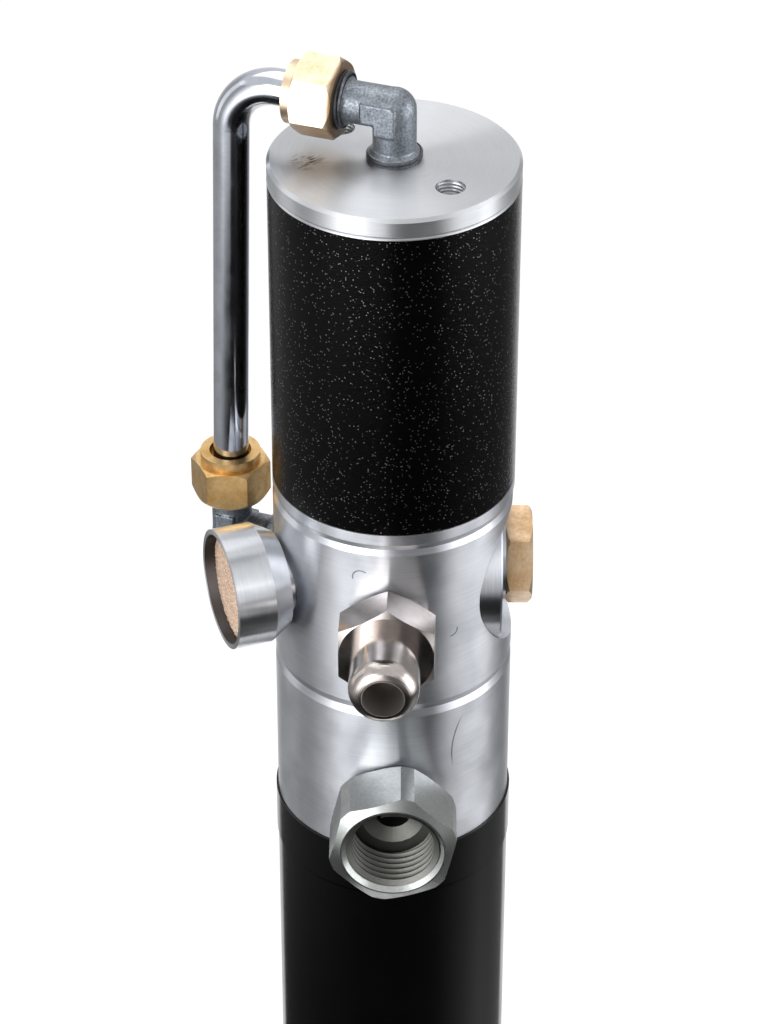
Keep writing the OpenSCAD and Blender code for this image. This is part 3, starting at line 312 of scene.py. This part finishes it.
def paint_reflection_strokes(tree, where, colour, painted_reflections):
    """Painted reflection as patches of short dark brown strokes, each (centre, radius, direction of the
    strokes).
    """
    stroke_width = 0.0004167
    # three quarters of the way along a stroke is taken out, so it is four times as long as wide
    stretch = -0.75
    for centre, reach, stroke in painted_reflections:
        arm = add(tree, "ShaderNodeVectorMath", {0: where.outputs["Object"], 1: centre},
                  operation="SUBTRACT")
        far = add(tree, "ShaderNodeVectorMath", {0: arm.outputs[0]}, operation="LENGTH")
        near = add(tree, "ShaderNodeMapRange", {"Value": far.outputs["Value"], "From Min": reach * 0.2,
                                                "From Max": reach, "To Min": 1.0, "To Max": 0.0})
        slide = add(tree, "ShaderNodeVectorMath", {0: arm.outputs[0], 1: stroke},
                    operation="DOT_PRODUCT")
        squeeze = add(tree, "ShaderNodeVectorMath", {0: stroke, "Scale": slide.outputs["Value"]},
                      operation="SCALE")
        squeeze = add(tree, "ShaderNodeVectorMath", {0: squeeze.outputs[0], "Scale": stretch},
                      operation="SCALE")
        strokes = add(tree, "ShaderNodeVectorMath", {0: arm.outputs[0], 1: squeeze.outputs[0]},
                      operation="ADD")
        grit = add(tree, "ShaderNodeTexNoise", {"Vector": strokes.outputs[0],
                                                "Scale": 1 / stroke_width, "Detail": 2.0})
        cut = add(tree, "ShaderNodeMapRange", {"Value": grit.outputs[0], "From Min": 0.5,
                                               "From Max": 0.62})
        share = add(tree, "ShaderNodeMath", {0: near.outputs[0], 1: cut.outputs[0]},
                    operation="MULTIPLY")
        colour = add(tree, "ShaderNodeMix", {0: share.outputs[0], 6: colour, 7: linear("#54483A")},
                     data_type="RGBA").outputs[2]
    return colour


def apply_stain_and_shade(tree, skin, colour, gloss, stain_and_shade, along, radius):
    """Links a skin's colour and roughness. A stain of oil, or painted shade in a hollow or joint,
    where there is one, is (along or radius, clean place, dark place, colour, strength, how far along it
    begins)."""
    if stain_and_shade:
        measure, clean, dark, tint, strength, begins = stain_and_shade
        place = along if measure == "along" else radius
        share = add(tree, "ShaderNodeMapRange", {"Value": place.outputs["Value"], "From Min": clean,
                                                 "From Max": dark, "To Max": strength})
        beyond = add(tree, "ShaderNodeMath", {0: along.outputs["Value"], 1: begins},
                     operation="GREATER_THAN")
        cover = add(tree, "ShaderNodeMath", {0: share.outputs[0], 1: beyond.outputs[0]},
                    operation="MULTIPLY").outputs[0]
        colour = add(tree, "ShaderNodeMix", {0: cover, 6: colour, 7: linear(tint)},
                     data_type="RGBA").outputs[2]
        gloss = add(tree, "ShaderNodeMix", {0: cover, 2: gloss, 3: 0.55},
                    data_type="FLOAT").outputs[0]
    tree.links.new(colour, skin.inputs["Base Color"])
    tree.links.new(gloss, skin.inputs["Roughness"])


def turned_aluminium(name, centre, axis, pale="#D0D2D7", dull="#B8BBC2", rough=0.32,
                     marks=(), painted_reflections=(), stain_and_shade=None):
    """Bare turned aluminium. Real feed marks are 0.1 mm apart, here 0.3 mm so that they show."""
    material, tree, skin = finish_of(name, Metallic=1.0, Anisotropic=0.93, Anisotropic_Rotation=0.25)
    where, along, radius, ring, pattern = lathe_rings(tree, centre, axis, feed=0.0003)
    feed = add(tree, "ShaderNodeTexNoise", {"Vector": pattern.outputs[0], "Scale": 1.0, "Detail": 3.0,
                                            "Roughness": 0.6})
    # hand marks and clouds of oxide
    cloud_width = 0.0125
    cloud = add(tree, "ShaderNodeTexNoise", {"Vector": where.outputs["Object"],
                                             "Scale": 1 / cloud_width, "Detail": 4.0,
                                             "Roughness": 0.55})
    both = add(tree, "ShaderNodeMath", {0: feed.outputs[0], 1: cloud.outputs[0]}, operation="ADD")
    share = add(tree, "ShaderNodeMapRange", {"Value": both.outputs[0], "From Min": 0.6,
                                             "From Max": 1.4})
    colour = add(tree, "ShaderNodeMix", {0: share.outputs[0], 6: linear(dull), 7: linear(pale)},
                 data_type="RGBA").outputs[2]
    colour, dent = scratched(tree, where, colour, feed.outputs[0], marks)
    colour = paint_reflection_strokes(tree, where, colour, painted_reflections)
    worn = add(tree, "ShaderNodeMapRange", {"Value": cloud.outputs[0], "From Min": 0.3,
                                            "From Max": 0.7, "To Min": rough - 0.04,
                                            "To Max": rough + 0.05})
    apply_stain_and_shade(tree, skin, colour, worn.outputs[0], stain_and_shade, along, radius)
    tree.links.new(ring.outputs[0], skin.inputs["Tangent"])
    bump = add(tree, "ShaderNodeBump", {"Strength": 0.05, "Distance": 0.00004, "Height": dent})
    tree.links.new(bump.outputs[0], skin.inputs["Normal"])
    return material


def dress(node, material):
    """Gives one of the frame's solids its finish."""
    nodes[node].material_slots[0].material = material


up = (0, 0, 1)
right = (1, 0, 0)
pump_foot = (0, 0, 0)
housing_z = (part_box("valve_housing")[0].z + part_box("valve_housing")[1].z) / 2
housing_centre = (0, 0, housing_z)
# painted reflection: the brass upper nut mirrored brown in the cap's face, drawn as patches of short dark
# strokes
cap_nut_reflection = [((-0.0180, -0.0020, 0.239), 0.0046, (0.8, 0.6, 0))]
body_marks = [((-0.0072, -0.0262, 0.1492), 0.0019, (-0.6, 0, 0.8), 0.25),
              ((0.0128, -0.0239, 0.1335), 0.0016, (0.8, 0, -0.6), 0.5)]
outlet_marks = [((0.0348, -0.0235, 0.0988), 0.0215, (-0.989, 0, 0.148), 0.94)]
cap_skin = turned_aluminium("faced_aluminium_cap", pump_foot, up, pale="#CBCDD0", dull="#BCBEC2",
                            rough=0.38, painted_reflections=cap_nut_reflection)
dress("top_cap", cap_skin)
dress("valve_body", turned_aluminium("turned_aluminium_valve_body", pump_foot, up, marks=body_marks))
dress("outlet_body", turned_aluminium("turned_aluminium_outlet_body", pump_foot, up,
                                      marks=outlet_marks))
dress("valve_housing", turned_aluminium("turned_aluminium_housing", housing_centre, right,
                                        pale="#BFC1C6", dull="#9FA2A9"))
dress("plug_washer", turned_aluminium("aluminium_washer", housing_centre, right))


# Tapped spanner holes
# The two holes in the cap take a pin spanner or lifting eyes. They are tapped, so
# their thread shows as fine ridges under the rim.
def helix_ridge(name, centre, axis, root, crest, pitch, start, end, per_turn=64):
    """A thread's ridge as one closed body, from its root radius to its crest, along an axis.
    Its foot and its flat top are shares of the pitch, and its foot bites into the wall."""
    foot, flat = 0.9, 0.15
    bite = 0.00003 if crest < root else -0.00003
    run_out = 0.3 * per_turn
    lowest = 0.02
    sides = 6
    axis = Vector(axis).normalized()
    side = axis.orthogonal().normalized()
    other = axis.cross(side)
    centre = Vector(centre)
    count = max(8, int(per_turn * (end - start) / pitch))
    points, faces = [], []
    for i in range(count + 1):
        turn = 2 * math.pi * i / per_turn
        z = start + (end - start) * i / count
        grow = max(min(1, i / run_out, (count - i) / run_out), lowest)
        top = root + (crest - root) * grow
        spoke = side * math.cos(turn) + other * math.sin(turn)
        for r, dz in ((root + bite, -foot / 2), (root, -foot / 2), (top, -flat / 2), (top, flat / 2),
                      (root, foot / 2), (root + bite, foot / 2)):
            points.append(centre + spoke * r + axis * (z + dz * pitch))
    for i in range(count):
        for j in range(sides):
            a = i * sides + j
            b = i * sides + (j + 1) % sides
            faces.append((a, b, b + sides, a + sides))
    faces.append(tuple(range(sides)))
    faces.append(tuple(range(count * sides, (count + 1) * sides)))
    return mesh_piece(name, points, faces, smooth=False)


hole_circle = mounts["spanner_holes"]["dims"]["pcd_mm"] / 2000
hole_r = mounts["spanner_holes"]["dims"]["hole_r_mm"] / 1000
hole_azimuths = (-48, 132)
hole_pitch = 0.0008
hole_ridge = 0.00015
hole_depth, hole_chamfer = 0.005, 0.0006
cap_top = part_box("top_cap")[1].z
for i, azimuth in enumerate(hole_azimuths):
    turn = math.radians(azimuth)
    at = (hole_circle * math.cos(turn), hole_circle * math.sin(turn), 0)
    ridge = helix_ridge(f"spanner_hole_thread_{i + 1}", at, up, hole_r, hole_r - hole_ridge,
                        hole_pitch, cap_top - hole_depth, cap_top - hole_chamfer)
    ridge.data.materials.append(cap_skin)
    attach(ridge, "pump")

# Air cylinder
# A thick aluminium tube, powder coated black with a fine pebbled texture. It is
# held between the cap and the valve body, on a spigot of each.
material, tree, skin = finish_of("black_textured_powder_coat", Metallic=0.0, IOR=1.5,
                                 Specular_IOR_Level=0.09)
where = add(tree, "ShaderNodeTexCoord")
pebble_width = 0.000303
grit_width = 0.0003846
cloud_width = 0.02
pebble = add(tree, "ShaderNodeTexVoronoi", {"Vector": where.outputs["Object"],
                                            "Scale": 1 / pebble_width}, feature="SMOOTH_F1")
grit = add(tree, "ShaderNodeTexNoise", {"Vector": where.outputs["Object"], "Scale": 1 / grit_width,
                                        "Detail": 3.0})
both = add(tree, "ShaderNodeMath", {0: pebble.outputs["Distance"], 1: grit.outputs[0]},
           operation="ADD")
bump = add(tree, "ShaderNodeBump", {"Strength": 0.35, "Distance": 0.0001, "Height": both.outputs[0]})
tree.links.new(bump.outputs[0], skin.inputs["Normal"])
cloud = add(tree, "ShaderNodeTexNoise", {"Vector": where.outputs["Object"],
                                         "Scale": 1 / cloud_width, "Detail": 4.0})
shade = add(tree, "ShaderNodeMix", {0: cloud.outputs[0], 6: linear("#040303"), 7: linear("#080607")},
            data_type="RGBA")
# one pebble in sixteen has a glossy tip that glints
cell = add(tree, "ShaderNodeTexVoronoi", {"Vector": where.outputs["Object"],
                                          "Scale": 1 / pebble_width})
pick = add(tree, "ShaderNodeSeparateXYZ", {0: cell.outputs["Color"]})
pick = add(tree, "ShaderNodeMath", {0: pick.outputs[0], 1: 0.94}, operation="GREATER_THAN")
tip = add(tree, "ShaderNodeMapRange", {"Value": cell.outputs["Distance"], "From Min": 0.25,
                                       "From Max": 0.5, "To Min": 1.0, "To Max": 0.0})
glint = add(tree, "ShaderNodeMath", {0: pick.outputs[0], 1: tip.outputs[0]}, operation="MULTIPLY")
tree.links.new(glint.outputs[0], skin.inputs["Metallic"])
shade = add(tree, "ShaderNodeMix", {0: glint.outputs[0], 6: shade.outputs[2], 7: linear("#A8A6A4")},
            data_type="RGBA")
tree.links.new(shade.outputs[2], skin.inputs["Base Color"])
gloss = add(tree, "ShaderNodeMapRange", {"Value": grit.outputs[0], "From Min": 0.3, "From Max": 0.7,
                                         "To Min": 0.15, "To Max": 0.22})
tree.links.new(gloss.outputs[0], skin.inputs["Roughness"])
dress("air_cylinder", material)
# the bevel at its top is machined after coating, so bare metal shows: a thin ring whose
# section is drawn as steps in from the tube's wall and down from its end
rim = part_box("air_cylinder")[1]
section = [(0.00052, -0.00004), (-0.00003, 0.00051), (0, 0.0006), (0.0006, 0)]
sides = len(section)
spokes = 180
edge_points, edge_faces = [], []
for i in range(spokes):
    turn = math.radians(360 * i / spokes)
    first = sides * i
    following = sides * ((i + 1) % spokes)
    for j, (inward, down) in enumerate(section):
        r = rim.x - inward
        edge_points.append((r * math.cos(turn), r * math.sin(turn), rim.z - down))
        beside = (j + 1) % sides
        edge_faces.append((first + j, first + beside, following + beside, following + j))
edge = mesh_piece("bare_cylinder_bevel", edge_points, edge_faces)
edge.data.materials.append(cap_skin)
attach(edge, "pump")

# Collar and suction tube
# The collar screws onto the outlet body and clamps the tube. Both are steel with
# a thin satin black coat, smooth enough for a long grey reflection at the sides.
material, tree, skin = finish_of("black_satin_coat", Metallic=0.0, IOR=1.5, Specular_IOR_Level=0.3)
# real turning marks are finer: 0.4 mm is what still shows through the coat
where, along, _, _, pattern = lathe_rings(tree, pump_foot, up, feed=0.0004)
cloud_width = 0.01667
feed = add(tree, "ShaderNodeTexNoise", {"Vector": pattern.outputs[0], "Scale": 1.0, "Detail": 2.0})
cloud = add(tree, "ShaderNodeTexNoise", {"Vector": where.outputs["Object"],
                                         "Scale": 1 / cloud_width, "Detail": 5.0})
shade = add(tree, "ShaderNodeMix", {0: cloud.outputs[0], 6: linear("#060606"), 7: linear("#0A0909")},
            data_type="RGBA")
# painted shade: a black line round the tube just under the collar's lower edge, where the crevice is
seam_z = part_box("collar")[0].z
crevice_shade_half, crevice_shade_edge = 0.00015, 0.0004
off = add(tree, "ShaderNodeMath", {0: along.outputs["Value"], 1: seam_z}, operation="SUBTRACT")
off = add(tree, "ShaderNodeMath", {0: off.outputs[0]}, operation="ABSOLUTE")
painted_crevice_shade = add(tree, "ShaderNodeMapRange", {"Value": off.outputs[0], "From Min": crevice_shade_half,
                                        "From Max": crevice_shade_edge, "To Min": 1.0, "To Max": 0.0})
tree.links.new(painted_crevice_shade.outputs[0], skin.inputs["Metallic"])
shade = add(tree, "ShaderNodeMix", {0: painted_crevice_shade.outputs[0], 6: shade.outputs[2], 7: linear("#000000")},
            data_type="RGBA")
tree.links.new(shade.outputs[2], skin.inputs["Base Color"])
gloss = add(tree, "ShaderNodeMapRange", {"Value": cloud.outputs[0], "From Min": 0.3, "From Max": 0.7,
                                         "To Min": 0.15, "To Max": 0.2})
tree.links.new(gloss.outputs[0], skin.inputs["Roughness"])
bump = add(tree, "ShaderNodeBump", {"Strength": 0.1, "Distance": 0.00003, "Height": feed.outputs[0]})
tree.links.new(bump.outputs[0], skin.inputs["Normal"])
dress("collar", material)
dress("suction_tube", material)


# Brass
# Side plug, nuts and ferrules are machined from yellow brass bar. Faint turning marks
# and small specks show on it, and it has dulled a little in the hand.
def worked_metal(name, pale, dull, rough, centre=(0, 0, 0), axis=(0, 0, 1), speckle=0.25,
                 grain=0.0007, turning=0.1, stain_and_shade=None):
    """Machined or plated metal: rings of its own axis, clouds of dulling and small specks of grain.
    Real turning marks are 0.1 mm apart or less, here 0.25 mm so that they show."""
    material, tree, skin = finish_of(name, Metallic=1.0)
    where, along, radius, _, pattern = lathe_rings(tree, centre, axis, feed=0.00025)
    cloud_width = 0.00667
    feed = add(tree, "ShaderNodeTexNoise", {"Vector": pattern.outputs[0], "Scale": 1.0, "Detail": 2.0})
    cloud = add(tree, "ShaderNodeTexNoise", {"Vector": where.outputs["Object"],
                                             "Scale": 1 / cloud_width, "Detail": 5.0,
                                             "Roughness": 0.6})
    speck = add(tree, "ShaderNodeTexNoise", {"Vector": where.outputs["Object"], "Scale": 1 / grain,
                                             "Detail": 2.0})
    part = add(tree, "ShaderNodeMix", {0: speckle, 2: cloud.outputs[0], 3: speck.outputs[0]},
               data_type="FLOAT")
    part = add(tree, "ShaderNodeMapRange", {"Value": part.outputs[0], "From Min": 0.35,
                                            "From Max": 0.62})
    colour = add(tree, "ShaderNodeMix", {0: part.outputs[0], 6: linear(dull), 7: linear(pale)},
                 data_type="RGBA")
    gloss = add(tree, "ShaderNodeMapRange", {"Value": part.outputs[0], "To Min": rough + 0.08,
                                             "To Max": rough - 0.03})
    apply_stain_and_shade(tree, skin, colour.outputs[2], gloss.outputs[0], stain_and_shade, along, radius)
    height = add(tree, "ShaderNodeMix", {0: turning, 2: speck.outputs[0], 3: feed.outputs[0]},
                 data_type="FLOAT")
    bump = add(tree, "ShaderNodeBump", {"Strength": 0.08, "Distance": 0.00003,
                                        "Height": height.outputs[0]})
    tree.links.new(bump.outputs[0], skin.inputs["Normal"])
    return material


# the bypass line leaves the upper elbow at elbow_z and comes down line_reach from the axis
pipe_azimuth = math.radians(160)
pipe_way = Vector((math.cos(pipe_azimuth), math.sin(pipe_azimuth), 0))
elbow_z = cap_top + 0.01136
nut_face = 0.01156
line_reach = 0.0393
elbow_centre = (0, 0, elbow_z)
lower_nut_at = tuple(pipe_way * line_reach)
# painted shade: the upper nut is darkened brown where it meets its elbow
nut_joint_shade = ("along", nut_face + 0.0012, nut_face + 0.0003, "#54402C", 0.85, 0)
dress("side_plug", worked_metal("machined_brass_plug", "#DCC2A4", "#B8966F", 0.36,
                                housing_centre, right))
dress("upper_nut", worked_metal("machined_brass_upper_nut", "#E8D4BC", "#D2B796", 0.32,
                                elbow_centre, tuple(pipe_way), stain_and_shade=nut_joint_shade))
dress("lower_nut", worked_metal("machined_brass_lower_nut", "#DFC08C", "#B98F52", 0.32,
                                lower_nut_at, up))
dress("ferrules", worked_metal("machined_brass_ferrule", "#D2AC6A", "#A87F3E", 0.3,
                               lower_nut_at, up))


# Elbows
# Two drop forged steel elbows with a flat land on each side, zinc plated to a dull
# blue grey. The forging skin stays on the arms and the ends are turned and threaded.
def forged_elbow(name, corner, stud_way, nut_way, arm):
    """An elbow as it leaves the dies, its forms run together with small fillets. Its two arms
    are turned forms, as radius and height from the corner. Lengths are in metres."""
    side = nut_way.cross(stud_way)
    upright_r, arm_r, stud_r, shoulder_r, thread_r = 0.00465, 0.00455, 0.00565, 0.0052, 0.0061
    flare_start, flare_end, stud_end = 0.00896, 0.00986, 0.01986
    shoulder_h, thread_h = 0.0016, 0.0046
    dome_steps, around = 10, 64
    upright = []
    for i in range(dome_steps + 1):
        turn = math.radians(90 * i / dome_steps)
        upright.append((upright_r * math.sin(turn), -upright_r * math.cos(turn)))
    upright += [(upright_r, flare_start), (stud_r, flare_end), (stud_r, stud_end), (0, stud_end)]
    arm_form = [(0, 0), (arm_r, 0), (arm_r, arm - shoulder_h), (shoulder_r, arm - shoulder_h),
                (shoulder_r, arm - shoulder_h / 2), (thread_r, arm - shoulder_h / 2),
                (thread_r, arm + thread_h), (0, arm + thread_h)]
    points, faces = [], []
    for form, way, other in ((upright, stud_way, nut_way), (arm_form, nut_way, stud_way)):
        first = len(points)
        size = len(form)
        for i in range(around):
            turn = 2 * math.pi * i / around
            spoke = other * math.cos(turn) + side * math.sin(turn)
            points += [corner + spoke * r + way * h for r, h in form]
        for i in range(around):
            for j in range(size - 1):
                here = first + i * size + j
                there = first + (i + 1) % around * size + j
                faces.append((here, here + 1, there + 1, there))
    # the flat land for a spanner: an L whose outer corner is cut
    land = [(-0.0008, -0.00225), (-0.00155, -0.0015), (-0.00155, 0.0047), (0.00295, 0.0047),
            (0.00295, 0.00225), (0.006, 0.00225), (0.006, -0.00225)]
    land_half = 0.0049
    first = len(points)
    size = len(land)
    for depth in (-land_half, land_half):
        points += [corner + nut_way * x + stud_way * y + side * depth for x, y in land]
    faces.append(tuple(range(first, first + size)))
    faces.append(tuple(range(first + size, first + 2 * size)))
    faces += [(first + i, first + (i + 1) % size, first + size + (i + 1) % size, first + size + i)
              for i in range(size)]
    rough_form = mesh_piece(name + "_blank", points, faces)
    shape = bmesh.new()
    shape.from_mesh(rough_form.data)
    bmesh.ops.remove_doubles(shape, verts=shape.verts, dist=0.000001)
    bmesh.ops.recalc_face_normals(shape, faces=shape.faces)
    shape.to_mesh(rough_form.data)
    shape.free()
    melt = rough_form.modifiers.new("melt", "REMESH")
    melt.mode = "VOXEL"
    melt.voxel_size = 0.0002
    melt.use_smooth_shade = True
    ease = rough_form.modifiers.new("ease", "SMOOTH")
    ease.factor = 0.5
    ease.iterations = 3
    shaped = rough_form.evaluated_get(bpy.context.evaluated_depsgraph_get())
    finished = bpy.data.meshes.new_from_object(shaped)
    bpy.data.objects.remove(rough_form)
    piece = bpy.data.objects.new(name, finished)
    scene.collection.objects.link(piece)
    return piece


port_z = mounts["air_inlet"]["pos_m"][2]
upper_corner = Vector(elbow_centre)
lower_corner = pipe_way * line_reach + Vector((0, 0, port_z))
lower_arm = 0.0101
down = Vector((0, 0, -1))
# the bare thread inside the nut is darker than the plating
thread_stain = ("along", nut_face - 0.0017, nut_face - 0.0012, "#3C3D40", 0.85, 0)
for name, node, corner, stud_way, nut_way, arm, stain_and_shade in [
        ("upper_forged_elbow", "upper_elbow", upper_corner, down, pipe_way, nut_face, thread_stain),
        ("lower_forged_elbow", "lower_elbow", lower_corner, -pipe_way, Vector(up), lower_arm, None)]:
    elbow = forged_elbow(name, corner, stud_way, nut_way, arm)
    elbow.data.materials.clear()
    elbow.data.materials.append(worked_metal("zinc_plated_" + name, "#92989F", "#5F646B", 0.46,
                                             tuple(corner), tuple(nut_way), speckle=0.6,
                                             grain=0.0005, turning=0.0, stain_and_shade=stain_and_shade))
    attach(elbow, "pump")
    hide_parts(node)

# Thread ends beside the cap and beside the upper nut
# Each end is screwed in but for its last two turns. They are steel, dark with oil,
# and their ridges catch a thin light.
oiled = worked_metal("oiled_steel_thread", "#6A6C70", "#46474A", 0.4, speckle=0.5, turning=0.0)
elbow_pitch = 0.0007
for name, foot, axis, root, crest, start, end in [
        ("stud_thread", pump_foot, up, 0.00563, 0.006, cap_top + 0.0001, cap_top + 0.0017),
        ("nut_thread", elbow_centre, tuple(pipe_way), 0.0059, 0.0064, nut_face - 0.0013,
         nut_face - 0.0001)]:
    thread = helix_ridge(name, foot, axis, root, crest, elbow_pitch, start, end)
    thread.data.materials.append(oiled)
    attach(thread, "pump")

# Bypass pipe
# Precision drawn steel tube, smooth and bright as a mirror, bent cold round a former
# and sealed in both nuts by the ferrules.
dress("bypass_pipe", worked_metal("drawn_steel_pipe", "#C0C4CC", "#ACB0B8", 0.12, speckle=0.1,
                                  turning=0.0))

# Air inlet
# The nipple is turned from steel bar and nickel plated: bright and a little warm,
# smooth on the barrel and nose. Its bore is a shade darker than its nose.
inlet_way = tuple(mounts["air_inlet"]["axis"])
# painted shade: the darker tint inside the bore
bore_shade = ("radius", 0.0048, 0.00465, "#A59F9B", 0.9, 0)
dress("inlet_nipple", worked_metal("nickel_plated_steel", "#BDB6B2", "#A8A09C", 0.16, (0, 0, port_z),
                                   inlet_way, speckle=0.1, stain_and_shade=bore_shade))

# Outlet
# The outlet is hexagon steel with its corners turned off, zinc plated, with a G 1/2
# female thread and a conical seat at its bottom.
front = tuple(mounts["outlet"]["axis"])
outlet_centre = (0, 0, mounts["outlet"]["pos_m"][2])
outlet_root = mounts["outlet"]["dims"]["r_mm"] / 1000
outlet_crest = 0.00935
outlet_pitch = 0.001814
outlet_depth, outlet_chamfer = 0.0131, 0.001
outlet_face = -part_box("outlet_fitting")[0].y
# painted shade: all that lies inside the thread's root radius is darkened
outlet_bore_shade = ("radius", outlet_root + 0.00022, outlet_root + 0.00002, "#4E4C46", 0.75, 0)
plated = worked_metal("zinc_plated_outlet_steel", "#B2B5B3", "#9A9D9B", 0.3, outlet_centre, front,
                      speckle=0.35, stain_and_shade=outlet_bore_shade)
dress("outlet_fitting", plated)
ridge = helix_ridge("outlet_thread", outlet_centre, front, outlet_root, outlet_crest, outlet_pitch,
                    outlet_face - outlet_depth, outlet_face - outlet_chamfer, per_turn=96)
ridge.data.materials.append(plated)
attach(ridge, "pump")

# Muffler
# A turned aluminium cup on the valve housing's level holds a disc of bronze balls
# sintered together, which lets the spent air out without noise. The disc's face is a
# bed of 0.55 mm grains, drawn here as one dimpled skin.
muffler_azimuth = math.radians(200)
muffler_way = (math.cos(muffler_azimuth), math.sin(muffler_azimuth), 0)
bed_r, bed_face = 0.0122, 0.0383
grain_size = 0.00055
cells = 150
# painted shade: inside the cup, round the grain bed and out from its face, the aluminium is darkened
cup_wall_shade = ("radius", bed_r + 0.0005, bed_r + 0.0001, "#2E2624", 1.0, bed_face - 0.0003)
dress("muffler_cup", turned_aluminium("turned_aluminium_muffler", housing_centre, muffler_way,
                                      pale="#DEE0E4", dull="#C6C9CE", stain_and_shade=cup_wall_shade))
grains = worked_metal("sintered_bronze_grains", "#FBE6D2", "#CFAE96", 0.6, speckle=0.6,
                      grain=0.0005, turning=0.0)
dress("muffler_disc", grains)
outward = Vector(muffler_way)
across = Vector(up).cross(outward)
bed_points, bed_faces, seat = [], [], {}
for i in range(-cells // 2, cells // 2 + 1):
    for j in range(-cells // 2, cells // 2 + 1):
        x = 2 * bed_r * i / cells
        y = 2 * bed_r * j / cells
        if math.hypot(x, y) <= bed_r:
            near = noise.voronoi(Vector((x, y, 0)) / grain_size)[0][0]
            lift = grain_size * 0.45 * max(0, 1 - 1.6 * near * near)
            seat[i, j] = len(bed_points)
            bed_points.append(outward * (bed_face + lift) + across * x + Vector((0, 0, housing_z + y)))
for i, j in seat:
    corners = [seat.get(spot) for spot in ((i, j), (i + 1, j), (i + 1, j + 1), (i, j + 1))]
    if None not in corners:
        bed_faces.append(tuple(corners))
bed = mesh_piece("sintered_bed", bed_points, bed_faces)
bed.data.materials.append(grains)
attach(bed, "pump")


# Inside
# Rods, pistons, bushes, seals and the foot valve: turned steel, bronze, rubber and
# moulded guide bands. Most of it only shows when the pump is taken apart.
def moulded(name, pale, dull, rough, grain):
    """Moulded rubber or plastic: an even matt skin with a fine grain and faint clouds."""
    material, tree, skin = finish_of(name, Metallic=0.0, IOR=1.5)
    where = add(tree, "ShaderNodeTexCoord")
    cloud_width = 0.0111
    fine = add(tree, "ShaderNodeTexNoise", {"Vector": where.outputs["Object"], "Scale": 1 / grain,
                                            "Detail": 3.0})
    cloud = add(tree, "ShaderNodeTexNoise", {"Vector": where.outputs["Object"],
                                             "Scale": 1 / cloud_width, "Detail": 3.0})
    shade = add(tree, "ShaderNodeMix", {0: cloud.outputs[0], 6: linear(dull), 7: linear(pale)},
                data_type="RGBA")
    tree.links.new(shade.outputs[2], skin.inputs["Base Color"])
    gloss = add(tree, "ShaderNodeMapRange", {"Value": fine.outputs[0], "To Min": rough - 0.08,
                                             "To Max": rough + 0.08})
    tree.links.new(gloss.outputs[0], skin.inputs["Roughness"])
    bump = add(tree, "ShaderNodeBump", {"Strength": 0.2, "Distance": 0.00003,
                                        "Height": fine.outputs[0]})
    tree.links.new(bump.outputs[0], skin.inputs["Normal"])
    return material


# each kind: its maker, its name, pale and dull colour, roughness and, if moulded, its grain
inner = {
    "rod_steel": (worked_metal, "ground_rod_steel", "#B9BBBF", "#A4A7AC", 0.22),
    "stainless_steel": (worked_metal, "turned_stainless_steel", "#B7B8B9", "#9C9EA0", 0.32),
    "piston_aluminium": (worked_metal, "turned_piston_aluminium", "#C9CBCF", "#B0B3B8", 0.34),
    "bush_bronze": (worked_metal, "sintered_bush_bronze", "#B08A55", "#8D6B3E", 0.42),
    "black_rubber": (moulded, "nitrile_rubber", "#1B1B1C", "#121213", 0.5, 0.0003),
    "seal_rubber": (moulded, "seal_polyurethane", "#2C3A52", "#243046", 0.4, 0.0003),
    "guide_plastic": (moulded, "filled_ptfe_band", "#54483A", "#463B2F", 0.45, 0.0004),
}
made = {}
for node in nodes.values():
    slot = node.material_slots[0]
    kind = slot.material.name
    if kind in inner:
        if kind not in made:
            maker, *values = inner[kind]
            made[kind] = maker(*values)
        slot.material = made[kind]
